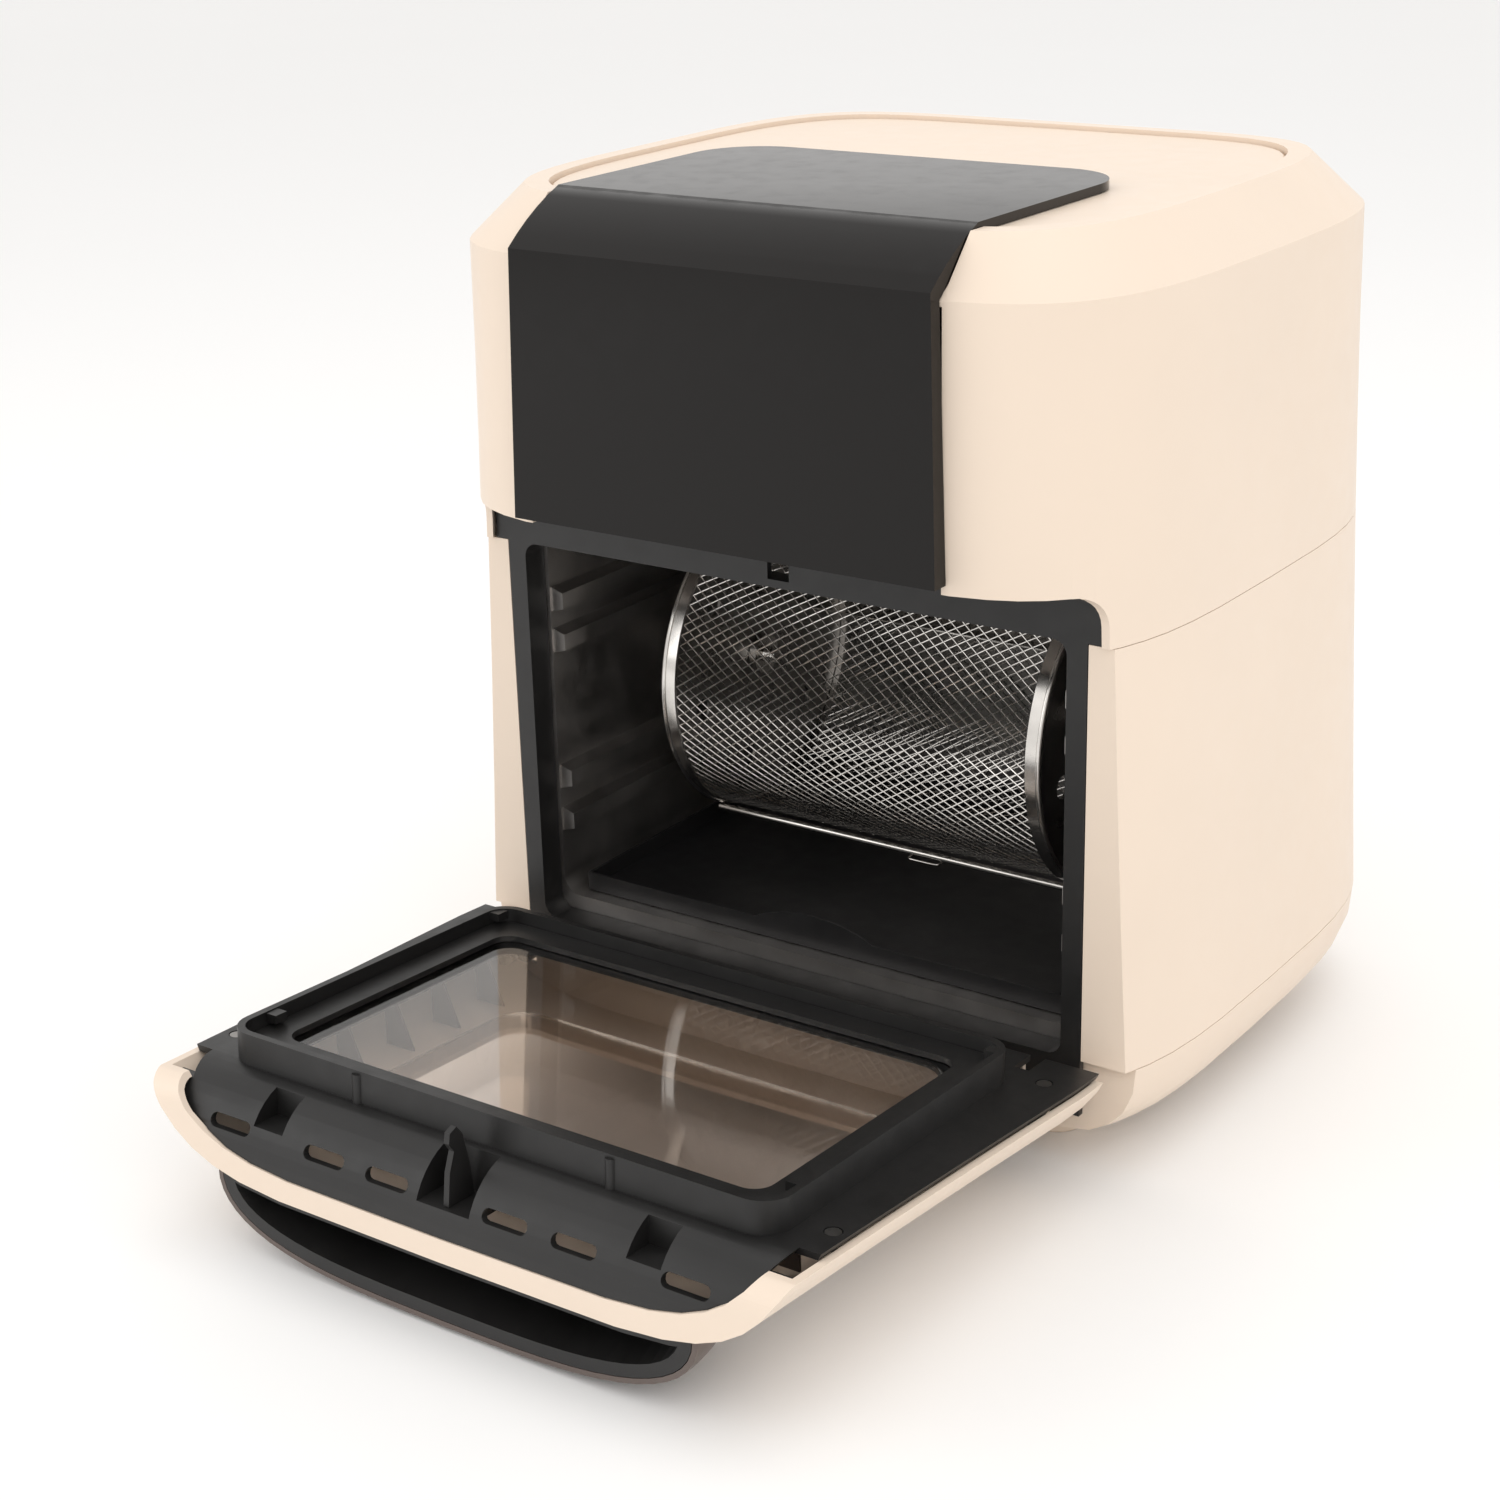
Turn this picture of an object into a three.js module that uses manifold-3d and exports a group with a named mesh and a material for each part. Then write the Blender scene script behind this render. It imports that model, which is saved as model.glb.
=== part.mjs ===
// A benchtop rotisserie oven with a drop-down door, modelled in millimetres with +Z up.
// The viewer faces the front, which looks along -Y, and +X is on the viewer's right.
// The origin is on the surface that the feet stand on, under the middle of the whole object.
import * as THREE from "three";
import { mergeVertices } from "three/addons/utils/BufferGeometryUtils.js";
import Module from "manifold-3d";

const wasm = await Module();
wasm.setup();

// ---- Driving dimensions ----

// Body, seen from above: |x / half width|^6 + |y / half depth|^3.6 = 1
const BODY_HALF_WIDTH = 153.9; // at the crease below the top chamfer
const BODY_HALF_DEPTH = 143;
const FLARE_WIDTH = 11.3; // growth of the half width from the crease down to the base seam
const FLARE_DEPTH = 4;
const SIDE_POWER = 6;
const FRONT_POWER = 3.6;
const OUTLINE_POINTS = 52;
const SHELL_WALL = 2.5;
const SEAM_GAP = 0.3;
const FIT_GAP = 0.4;

// Heights
const FOOT_HEIGHT = 14;
const BASE_SEAM_Z = 48;
const SIDE_SEAM_Z = 216;
const HOOD_HEIGHT = 126.9; // from the side seam up to the crease
const CREASE_Z = SIDE_SEAM_Z + HOOD_HEIGHT;
const CHAMFER_HEIGHT = 21.1;
const LIP_Z = CREASE_Z + CHAMFER_HEIGHT;
const LID_DROP = 1.8; // from the lip's top down to the lid's top
const LID_Z = LIP_Z - LID_DROP;
const BASE_INSET = 27; // how far the base pan's floor stands in from its seam
const BASE_STATIONS = [0.07, 0.2, 0.41, 0.68]; // where the base's curve is drawn, from its floor up

// Top
const CHAMFER_WIDTH = 19.9;
const CHAMFER_DEPTH = 17;
const LIP_WIDTH = 9; // from the lip's outside in to the lid, at the sides
const LIP_DEPTH = 8.5; // the same at the front and back
const LIP_HALF_WIDTH = BODY_HALF_WIDTH - CHAMFER_WIDTH;
const LIP_HALF_DEPTH = BODY_HALF_DEPTH - CHAMFER_DEPTH;
const LID_HALF_WIDTH = LIP_HALF_WIDTH - LIP_WIDTH;
const LID_HALF_DEPTH = LIP_HALF_DEPTH - LIP_DEPTH;
const LID_GROOVE = 1;
const LID_THICKNESS = 3.5;
const LID_EDGE = 0.6;
const LID_LEDGE = 8;
const TOP_PLATE = 4;

// Feet
const FOOT_RADIUS = 13;
const FOOT_X = 108;
const FOOT_FRONT_Y = -75;
const FOOT_REAR_Y = 85;

// Hood opening above the door
const HEADER_HEIGHT = 21.5;
const HOOD_BOTTOM_Z = SIDE_SEAM_Z + HEADER_HEIGHT;
const HOOD_CORNER_Y = -(BODY_HALF_DEPTH - 33);
const HOOD_CORNER_RADIUS = 13;

// Control panel, which stands proud of the hood and the lid
const PANEL_HALF_TOP = 93.1;
const PANEL_HALF_BOTTOM = 95.7;
const PANEL_PROUD_BOTTOM = 6.6;
const PANEL_PROUD_CREASE = 4.8;
const PANEL_PROUD_TOP = 3.8;
const PANEL_LIFT = 3.8; // from the hood's lower edge up to the panel's
const PANEL_CREASE_LIFT = 3.9;
const PANEL_BOTTOM_Z = HOOD_BOTTOM_Z + PANEL_LIFT;
const PANEL_FRONT_Y = -(BODY_HALF_DEPTH + PANEL_PROUD_BOTTOM);
const PANEL_CREASE_Y = -(BODY_HALF_DEPTH + PANEL_PROUD_CREASE);
const PANEL_CREASE_Z = CREASE_Z + PANEL_CREASE_LIFT;
const PANEL_SLOPE_DEPTH = 32.3; // from the crease back to the flat top
const PANEL_TOP_Y = PANEL_CREASE_Y + PANEL_SLOPE_DEPTH;
const PANEL_TOP_Z = LID_Z + PANEL_PROUD_TOP;
const PANEL_BACK_Y = 2.9;
const PANEL_CORNER_RADIUS = 28;
const PANEL_FRONT_THICKNESS = 7.6;
const PANEL_TOP_THICKNESS = 3.4;
const PANEL_SIDE_STEP = 8; // how far behind the crease the panel's sides turn in
const PANEL_WINDOW_DEPTH = 19.6;
const PANEL_WINDOW_MARGIN = 6;

// Front frame and oven cavity
const DOOR_SPACE = 35; // from the body's front back to the frame
const FRAME_FRONT_Y = -(BODY_HALF_DEPTH - DOOR_SPACE);
const FRAME_THICKNESS = 3;
const FRAME_SIDE_WIDTH = 8.5;
const FRAME_HALF_WIDTH = BODY_HALF_WIDTH - 18.9;
const FRAME_SKIRT = 24; // from the base seam down to the frame's lower edge
const FRAME_BOTTOM_Z = BASE_SEAM_Z - FRAME_SKIRT;
const FRAME_CEILING_LIFT = 3;
const FRAME_CEILING = 2;
const OPENING_HALF_WIDTH = FRAME_HALF_WIDTH - FRAME_SIDE_WIDTH;
const OPENING_BOTTOM_Z = BASE_SEAM_Z;
const OPENING_TOP_Z = SIDE_SEAM_Z;
const OPENING_CORNER = 6;
const REVEAL_DEPTH = 12.2;
const REVEAL_WALL = 2.2;
const LATCH_SLOT_HALF = 5;
const CAVITY_HALF_WIDTH = OPENING_HALF_WIDTH - 1.5;
const CAVITY_FLOOR_LIFT = 6.4;
const CAVITY_FLOOR_Z = OPENING_BOTTOM_Z + CAVITY_FLOOR_LIFT;
const CAVITY_CEILING_Z = OPENING_TOP_Z + 6;
const CAVITY_REAR_SPACE = 48; // from the cavity's back wall to the body's back
const CAVITY_BACK_Y = BODY_HALF_DEPTH - CAVITY_REAR_SPACE;
const CAVITY_FRONT_Y = FRAME_FRONT_Y + REVEAL_DEPTH + SEAM_GAP;
const CAVITY_SHEET = 1.2;
const CAVITY_CORNER = 8;
const CAVITY_FLANGE = 9;
const RUNNER_DEPTH = 6;
const RUNNER_HEIGHT = 11;
const RUNNER_TAPER = 2;
const RUNNER_LIFTS = [-58.9, -39.3, 22.2, 40.4]; // from the basket's axle, two below it and two above
const RUNNER_LENGTH = 150;

// Drip tray
const TRAY_SIDE_SPACE = 7.5;
const TRAY_FRONT_SPACE = 7;
const TRAY_REAR_SPACE = 11;
const TRAY_HALF_WIDTH = CAVITY_HALF_WIDTH - TRAY_SIDE_SPACE;
const TRAY_FRONT_Y = CAVITY_FRONT_Y + TRAY_FRONT_SPACE;
const TRAY_BACK_Y = CAVITY_BACK_Y - TRAY_REAR_SPACE;
const TRAY_HEIGHT = 8;
const TRAY_WALL = 1.2;
const TRAY_HUMP_RADIUS = 68;
const TRAY_HUMP_HEIGHT = 6.5;

// Rotisserie basket, which turns about the X axis
const BASKET_CLEARANCE = 14.8; // above and below the basket, half of the sum
const BASKET_LIFT = 3.8; // above the middle of the cavity
const BASKET_Y = 4;
const BASKET_Z = (CAVITY_FLOOR_Z + CAVITY_CEILING_Z) / 2 + BASKET_LIFT;
const BASKET_RADIUS = (CAVITY_CEILING_Z - CAVITY_FLOOR_Z) / 2 - BASKET_CLEARANCE;
const BASKET_SIDE_SPACE = 33; // from each end band to the cavity's side
const BASKET_HALF_LENGTH = CAVITY_HALF_WIDTH - BASKET_SIDE_SPACE;
const BASKET_MESH_INSET = 1;
const BASKET_MESH_THICKNESS = 1;
const BASKET_RING_WIDTH = 7;
const BASKET_RING_THICKNESS = 2.4;
const BASKET_END_INSET = 4;
const BASKET_END_X = BASKET_HALF_LENGTH - BASKET_END_INSET; // inner face of each end plate
const BASKET_END_THICKNESS = 1.2;
const END_HOLES = 6;
const END_HOLE_RADIUS = 5;
const END_HOLE_SPACE = 23; // from the holes' circle out to the band
const BASKET_ROD_RADIUS = 1.6;
const BASKET_ROD_ANGLE = -1.95; // radians round from the back
const BASKET_ROD_OVERHANG = 1.5;
const BASKET_LATCH_X = [6, 22];
const VANE_WIDTH = 21;
const VANE_THICKNESS = 1.5;
const VANE_LIFT = 9.5;
const SPIT_RADIUS = 3.6;
const SPIT_CLEARANCE = 0.4;
const SPIT_INSIDE = 10; // how far each stub axle reaches into the basket
const COLLAR_RADIUS = 9;
const COLLAR_WIDTH = 3.5;
const SOCKET_WALL = 4;
const SOCKET_RADIUS = SPIT_RADIUS + SPIT_CLEARANCE + SOCKET_WALL;
const SOCKET_REACH = 19; // how far the socket stands into the cavity
const SOCKET_X = CAVITY_HALF_WIDTH - SOCKET_REACH;
const SOCKET_HOLD = 10; // how far the right stub axle goes into the socket
const SOCKET_BORE_DEPTH = 12;
const SOCKET_SHAFT_RADIUS = 4;
const DRIVE_SHAFT_CLEARANCE = 0.4;
const DRIVE_CAN_RADIUS = 19;
const DRIVE_CAN_DEPTH = 23;
const DRIVE_PLATE = { thickness: 5, halfWidth: 30, halfHeight: 20 };
const LEFT_PIN_END = CAVITY_HALF_WIDTH - 5;
const BEARING_PLATE_X = CAVITY_HALF_WIDTH - 10;
const BEARING_PLATE = 2;
const BEARING_HALF_WIDTH = 14;
const BEARING_DROP = 20; // from the axle down to the bracket's shelf

// Heater and fan above the cavity
const HEATER_Y = 4;
const HEATER_HOLE_RADIUS = 84;
const GUARD_OVERLAP = 4;
const GUARD_THICKNESS = 1.5;
const GUARD_RINGS = [54, 26];
const DOME_RADIUS = HEATER_HOLE_RADIUS + 5;
const DOME_HEIGHT = 40;
const DOME_TOP_Z = CAVITY_CEILING_Z + DOME_HEIGHT;
const DOME_SHEET = 1;
const DOME_FLANGE = 2.5;
const COIL_LIFT = 14; // above the cavity's ceiling
const COIL_Z = CAVITY_CEILING_Z + COIL_LIFT;
const COIL_INNER_RADIUS = 52;
const COIL_OUTER_RADIUS = 66;
const COIL_TUBE_RADIUS = 3.2;
const COIL_LEG_DEGREES = [80, 94];
const COIL_LEG_RISE = 8; // above the dome
const FAN = { radius: 58, hub: 9, height: 9 };
const FAN_DROP = 15; // from the dome's top down to the fan's underside
const FAN_Z = DOME_TOP_Z - FAN_DROP;
const FAN_BLADES = 6;
const FAN_BLADE_HALF = 0.8;
const FAN_SHAFT_RADIUS = 3;
const SHAFT_GRIP = 0.05;
const SHAFT_OVERHANG = 2;
const MOTOR_LIFT = 8; // above the dome, over its bracket
const MOTOR_Z = DOME_TOP_Z + MOTOR_LIFT;
const MOTOR_RADIUS = 28;
const MOTOR_HEIGHT = 32;
const MOTOR_BRACKET = { halfWidth: 48, innerHalfWidth: 38, halfDepth: 16, thickness: 1.2 };
const COOLING_FAN = { radius: 40, hub: 8, height: 8 };
const COOLING_FAN_LIFT = 4; // above the motor

// Door, given as it stands when shut, and swung open about its hinge
const DOOR_OPEN_DEG = 86.34;
const DOOR_PROUD = 3.5; // in front of the body's half depth at the crease
const DOOR_FRONT_Y = -(BODY_HALF_DEPTH + DOOR_PROUD);
const DOOR_RIM_WIDTH = 9;
const LINER_SPACE = 1.6; // from the frame to the shut door's liner
const LINER_Y = FRAME_FRONT_Y - LINER_SPACE;
const LINER_THICKNESS = 2.5;
const LINER_DROP = 17.4; // from the opening's lower edge down to the liner's
const LINER_BOTTOM_Z = OPENING_BOTTOM_Z - LINER_DROP;
const DOOR_BOTTOM_Z = LINER_BOTTOM_Z + 0.8;
const DOOR_GAP = 2; // between the shut door and the hood
const DOOR_TOP_Z = HOOD_BOTTOM_Z - DOOR_GAP;
const DOOR_OVERRUN = 6; // extra height on regions that are cut to the door's edges
const LINER_CURVE_Z = OPENING_TOP_Z - 6; // where the liner starts to curve out to the door's top edge
const LINER_CURVE_DEPTH = LINER_Y - DOOR_FRONT_Y - DOOR_RIM_WIDTH;
const HINGE_SETBACK = 18.5;
const HINGE_Y = FRAME_FRONT_Y - HINGE_SETBACK;
const HINGE_Z = LINER_BOTTOM_Z + 5;
const RING_HALF_WIDTH = OPENING_HALF_WIDTH - 1.5;
const RING_BOTTOM_Z = OPENING_BOTTOM_Z + 2;
const RING_TOP_Z = OPENING_TOP_Z - 3.5;
const RING_HEIGHT = 12.6;
const RING_WALL = 3;
const RING_CORNER = 12;
const WINDOW_SIDE_MARGIN = 19;
const WINDOW_LOWER_MARGIN = 14;
const WINDOW_UPPER_MARGIN = 14.5;
const WINDOW_HALF_WIDTH = RING_HALF_WIDTH - WINDOW_SIDE_MARGIN;
const WINDOW_BOTTOM_Z = RING_BOTTOM_Z + WINDOW_LOWER_MARGIN;
const WINDOW_TOP_Z = RING_TOP_Z - WINDOW_UPPER_MARGIN;
const WINDOW_CORNER = 14;
const GLASS_MARGIN = 7;
const GLASS_THICKNESS = 4;
const RETAINER_WIDTH = 12;
const RETAINER_THICKNESS = 2.4;
const RETAINER_CORNER = 8;
const OUTER_GLASS_THICKNESS = 3;
const OUTER_GLASS_MARGIN = 6;
const OUTER_WINDOW_HALF_WIDTH = WINDOW_HALF_WIDTH - 8;
const OUTER_WINDOW_BOTTOM_Z = WINDOW_BOTTOM_Z + 8;
const OUTER_WINDOW_TOP_Z = WINDOW_TOP_Z - 6;
const OUTER_GLASS_EDGE = [
  OUTER_WINDOW_HALF_WIDTH + OUTER_GLASS_MARGIN,
  OUTER_WINDOW_TOP_Z + OUTER_GLASS_MARGIN,
];
const OUTER_GLASS_GAP = 0.37; // from its edge to the shell's curve
const OUTER_GLASS_Y = OUTER_GLASS_GAP - doorDepthAt(...OUTER_GLASS_EDGE, SHELL_WALL);
const VENT_SPANS = [[17, 37], [47.5, 67], [94, 114]]; // from the middle out, on both sides
const VENT_WIDTH = 5;
const VENT_SETBACK = 14.4;
const VENT_Y = LINER_Y - VENT_SETBACK;
const POCKET_WALL = 1.6;
const LATCH_POCKET = { x: [-12, 12], depth: 17.4, z: [5, 60] }; // heights are above the curve's start
const CLIP_POCKET = { x: [78.6, 93], depth: 12.4, z: [8, 21] };
const LATCH_BACK_Y = LINER_Y - LATCH_POCKET.depth;
const HOOK_THICKNESS = 2.4;
const HINGE_ARM_WIDTH = 3;
const HINGE_ARM_HEIGHT = 10;
const HINGE_SIDE_GAP = 1.5;
const HINGE_BRACKET_WIDTH = 3.5;
const HINGE_CORNER_SPACE = 2.42; // from each arm to the shell's curve
const HINGE_PIN_RADIUS = 2.5;
const HINGE_GRIP = 0.1;
const HINGE_CLEARANCE = 0.3;
const HINGE_EYE_RADIUS = 4.4;
const HINGE_ARM_X =
  doorWidthAt(HINGE_EYE_RADIUS - HINGE_Y, HINGE_Z, SHELL_WALL) - HINGE_CORNER_SPACE - HINGE_ARM_WIDTH;
const HINGE_BRACKET_X = HINGE_ARM_X - HINGE_SIDE_GAP - HINGE_BRACKET_WIDTH;
const HINGE_ROOM_Y = [HINGE_Y - 5.1, HINGE_Y + 26.5];
const BRACKET_FLANGE = 1.5;
const SCREW_ZS = { lower: OPENING_BOTTOM_Z + 2, upper: OPENING_TOP_Z - 22 };
const SCREW_HEAD_RADIUS = 3;
const SCREW_STEM_RADIUS = 1.5;
const SCREW_STEM_LENGTH = 6;
const SCREW_SINK = 1.5;
const SCREW_CORNER_SPACE = 1.12; // from each stem's tip to the shell's curve
const SCREW_TIP_DEPTH = SCREW_SINK + SCREW_STEM_LENGTH - LINER_Y;
const SCREW_X =
  doorWidthAt(SCREW_TIP_DEPTH, SCREW_ZS.upper, SHELL_WALL) - SCREW_CORNER_SPACE - SCREW_STEM_RADIUS;
const TAB_ZS = [RING_BOTTOM_Z + 8, RING_TOP_Z - 22.5];
const TAB = { reach: 5, height: 3.5, halfWidth: 3 };
const BOSS_X = 58;
const BOSS_RADIUS = 2.2;

// Handle: a scoop across the door's top front edge
const HANDLE_HALF_WIDTH = 110;
const HANDLE_REACH = 26.5;
const HANDLE_TOP_Z = DOOR_TOP_Z - 2.5;
const HANDLE_HEIGHT = 45;
const HANDLE_TAPER = 12; // how much narrower each side is at the bottom
const HANDLE_COVER = 2;
const HANDLE_RIM = 5;
const HANDLE_BACK = 2.5;
const HANDLE_ROOT = 5; // how far inside the door's face the scoop is centred
const HANDLE_POCKET_DEPTH = 25;
const HANDLE_POCKET_TAPER = 8;

// Rear
const REAR_HALF_WIDTH = 94.6;
const REAR_BOTTOM_Z = BASE_SEAM_Z + 22.4;
const REAR_TOP_Z = CREASE_Z - 13.3;
const REAR_VENTS = 7;
const REAR_VENT_PITCH = 12;
const REAR_VENT_HEIGHT = 3.5;
const REAR_VENT_HALF_WIDTH = 60;
const REAR_VENT_DROP = 22;
const GLAND_RADIUS = 7;
const GLAND_BORE_RADIUS = 3.5;
const GLAND_X = 60;
const GLAND_Z = REAR_BOTTOM_Z + 19.6;
const REAR_SCREW_X = 85;
const REAR_SCREW_Z = REAR_TOP_Z - 8.6;
const REAR_TAB_SPACE = 1.69; // from the shell's wall forward to the tabs that take the screws
const REAR_FACE_Y = bodyDepthAt(REAR_SCREW_X + SCREW_HEAD_RADIUS, REAR_SCREW_Z, 0); // beside the screws
const REAR_TAB_Y = REAR_FACE_Y - SHELL_WALL - REAR_TAB_SPACE;
const REAR_ROOT_SINK = 1.19; // from the face in to the end of each tab's root
const REAR_SCREW_GAP = 0.23; // under each screw's head
const REAR_TAB_THICKNESS = 3;
const REAR_TAB_HALF_WIDTH = 7;
const REAR_TAB_RISE = 8; // above the rear cover's top

// Lamp and boards
const LAMP_Y = 57;
const LAMP_Z = CAVITY_CEILING_Z - 16;
const LAMP_RADIUS = 8;
const LAMP_BOX = { half: 12, depth: 15 };
const BOARD_THICKNESS = 1.6;
const BOARD_POST_RADIUS = 2.5;
const CONTROL_BOARD_SPACE = 6; // behind the panel
const POWER_BOARD = { halfWidth: 58, height: 62, topDrop: 15.6, wallSpace: 15 };

const FAR = 600; // reaches past everything, for cutters

// ---- Solids ----

function solidOf(geometry) {
  const bare = geometry.index ? geometry.toNonIndexed() : geometry.clone();
  bare.deleteAttribute("normal");
  bare.deleteAttribute("uv");
  const merged = mergeVertices(bare, 1e-4);
  return new wasm.Manifold(
    new wasm.Mesh({
      numProp: 3,
      vertProperties: merged.attributes.position.array,
      triVerts: new Uint32Array(merged.index.array),
    }),
  );
}

function geometryOf(solid) {
  const mesh = solid.getMesh();
  const geometry = new THREE.BufferGeometry();
  geometry.setAttribute("position", new THREE.BufferAttribute(mesh.vertProperties, 3));
  geometry.setIndex(new THREE.BufferAttribute(mesh.triVerts, 1));
  geometry.computeVertexNormals();
  return geometry;
}

function join(...solids) {
  return solids.reduce((sum, next) => sum.add(next));
}

function block(x, y, z) {
  const geometry = new THREE.BoxGeometry(x[1] - x[0], y[1] - y[0], z[1] - z[0]);
  geometry.translate((x[0] + x[1]) / 2, (y[0] + y[1]) / 2, (z[0] + z[1]) / 2);
  return solidOf(geometry);
}

// The span from "near" to "far" on one side of the middle, low end first.
function spanX(side, near, far) {
  return side > 0 ? [near, far] : [-far, -near];
}

// A block that is turned about the heater's upright axis.
function bladeBlock(x, halfThickness, z, degrees) {
  const geometry = new THREE.BoxGeometry(x[1] - x[0], halfThickness * 2, z[1] - z[0]);
  geometry.translate((x[0] + x[1]) / 2, 0, (z[0] + z[1]) / 2);
  geometry.rotateZ(THREE.MathUtils.degToRad(degrees));
  geometry.translate(0, HEATER_Y, 0);
  return solidOf(geometry);
}

// A round bar from "from" to "to" along one axis, centred on (u, v) in the other two.
function bar(axis, radius, from, to, u, v, sides = 24) {
  const geometry = new THREE.CylinderGeometry(radius, radius, to - from, sides);
  const middle = (from + to) / 2;
  if (axis === "x") {
    geometry.rotateZ(-Math.PI / 2);
    geometry.translate(middle, u, v);
  } else if (axis === "y") {
    geometry.translate(u, middle, v);
  } else {
    geometry.rotateX(Math.PI / 2);
    geometry.translate(u, v, middle);
  }
  return solidOf(geometry);
}

// An outline of (x, y) points carried up from z0 to z1.
function prismZ(shape, z0, z1, curveSegments = 8) {
  const options = { depth: z1 - z0, bevelEnabled: false, curveSegments };
  const geometry = new THREE.ExtrudeGeometry(shape, options);
  geometry.translate(0, 0, z0);
  return solidOf(geometry);
}

// An outline of (x, z) points carried from y0 back to y1.
function prismY(shape, y0, y1, curveSegments = 8) {
  const options = { depth: y1 - y0, bevelEnabled: false, curveSegments };
  const geometry = new THREE.ExtrudeGeometry(shape, options);
  geometry.rotateX(Math.PI / 2);
  geometry.translate(0, y1, 0);
  return solidOf(geometry);
}

// An outline of (y, z) points carried from x0 to x1.
function prismX(shape, x0, x1, curveSegments = 8) {
  const options = { depth: x1 - x0, bevelEnabled: false, curveSegments };
  const geometry = new THREE.ExtrudeGeometry(shape, options);
  geometry.rotateX(Math.PI / 2);
  geometry.rotateZ(Math.PI / 2);
  geometry.translate(x0, 0, 0);
  return solidOf(geometry);
}

function polygon(points) {
  return new THREE.Shape(points.map(([u, v]) => new THREE.Vector2(u, v)));
}

function roundedRect(halfWidth, low, high, radius) {
  const shape = new THREE.Shape();
  shape.moveTo(-halfWidth + radius, low);
  shape.lineTo(halfWidth - radius, low);
  shape.absarc(halfWidth - radius, low + radius, radius, -Math.PI / 2, 0, false);
  shape.lineTo(halfWidth, high - radius);
  shape.absarc(halfWidth - radius, high - radius, radius, 0, Math.PI / 2, false);
  shape.lineTo(-halfWidth + radius, high);
  shape.absarc(-halfWidth + radius, high - radius, radius, Math.PI / 2, Math.PI, false);
  shape.lineTo(-halfWidth, low + radius);
  shape.absarc(-halfWidth + radius, low + radius, radius, Math.PI, Math.PI * 1.5, false);
  return shape;
}

// A closed ring of points where |x / a|^px + |y / b|^py = 1, at the height z.
function squareRound(a, b, z, px = SIDE_POWER, py = FRONT_POWER, y = 0) {
  const ring = [];
  for (let i = 0; i < OUTLINE_POINTS; i += 1) {
    const angle = (2 * Math.PI * i) / OUTLINE_POINTS;
    const c = Math.cos(angle);
    const s = Math.sin(angle);
    const u = a * Math.sign(c) * Math.abs(c) ** (2 / px);
    const v = b * Math.sign(s) * Math.abs(s) ** (2 / py);
    ring.push(new THREE.Vector3(u, y + v, z));
  }
  return ring;
}

// A closed solid through rings of equal point counts, from the lowest ring up.
function loft(rings) {
  const count = rings[0].length;
  const points = rings.flat();
  const bottom = points.length;
  const top = bottom + 1;
  const middle = (ring) => ring.reduce((sum, p) => sum.add(p), new THREE.Vector3()).divideScalar(count);
  points.push(middle(rings[0]), middle(rings[rings.length - 1]));
  const index = [];
  for (let i = 0; i < count; i += 1) {
    const next = (i + 1) % count;
    index.push(bottom, next, i);
    const last = (rings.length - 1) * count;
    index.push(top, last + i, last + next);
    for (let r = 0; r < rings.length - 1; r += 1) {
      const low = r * count;
      const high = low + count;
      index.push(low + i, low + next, high + next, low + i, high + next, high + i);
    }
  }
  const geometry = new THREE.BufferGeometry().setFromPoints(points);
  geometry.setIndex(index);
  return solidOf(geometry);
}

function mirrorX(solid) {
  const geometry = geometryOf(solid);
  geometry.scale(-1, 1, 1);
  const index = geometry.index.array;
  for (let i = 0; i < index.length; i += 3) {
    [index[i + 1], index[i + 2]] = [index[i + 2], index[i + 1]];
  }
  return solidOf(geometry);
}

// ---- The body's outline ----

function flare(z) {
  const down = Math.max(0, (CREASE_Z - z) / (CREASE_Z - BASE_SEAM_Z));
  return down ** 1.5;
}

// How far the base curves in below its seam: a quarter ellipse.
function baseInset(z) {
  if (z >= BASE_SEAM_Z) return 0;
  const down = (BASE_SEAM_Z - z) / (BASE_SEAM_Z - FOOT_HEIGHT);
  return BASE_INSET * (1 - Math.sqrt(Math.max(0, 1 - down * down)));
}

// How far the chamfer stands in above the crease, on the width and on the depth.
function chamfer(z, reach) {
  return reach * Math.max(0, (z - CREASE_Z) / (LIP_Z - CREASE_Z));
}

// The other half extent of the outline at one place on it: |x / a|^6 + |y / b|^3.6 = 1.
function depthOn(x, halfWidth, halfDepth) {
  return halfDepth * (1 - (x / halfWidth) ** SIDE_POWER) ** (1 / FRONT_POWER);
}

function widthOn(y, halfWidth, halfDepth) {
  return halfWidth * (1 - (y / halfDepth) ** FRONT_POWER) ** (1 / SIDE_POWER);
}

function sideWidth(z) {
  return BODY_HALF_WIDTH + FLARE_WIDTH * flare(Math.max(z, BASE_SEAM_Z));
}

// How far back the body's rear face is at x and z, less "inset".
function bodyDepthAt(x, z, inset) {
  return depthOn(x, sideWidth(z) - inset, BODY_HALF_DEPTH + FLARE_DEPTH * flare(z) - inset);
}

// How far forward the shut door's face is at x and z, less "inset".
function doorDepthAt(x, z, inset) {
  return depthOn(x, sideWidth(z) - inset, -DOOR_FRONT_Y - inset);
}

// How far out the shut door's side is where its face is y forward, less "inset".
function doorWidthAt(y, z, inset) {
  return widthOn(y, sideWidth(z) - inset, -DOOR_FRONT_Y - inset);
}

function bodyRing(z, inset = 0) {
  const below = Math.min(z, CREASE_Z);
  const width = BODY_HALF_WIDTH + FLARE_WIDTH * flare(below) - baseInset(z);
  const depth = BODY_HALF_DEPTH + FLARE_DEPTH * flare(below) - baseInset(z);
  const halfWidth = width - chamfer(z, BODY_HALF_WIDTH - LIP_HALF_WIDTH) - inset;
  const halfDepth = depth - chamfer(z, BODY_HALF_DEPTH - LIP_HALF_DEPTH) - inset;
  return squareRound(halfWidth, halfDepth, z);
}

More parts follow.
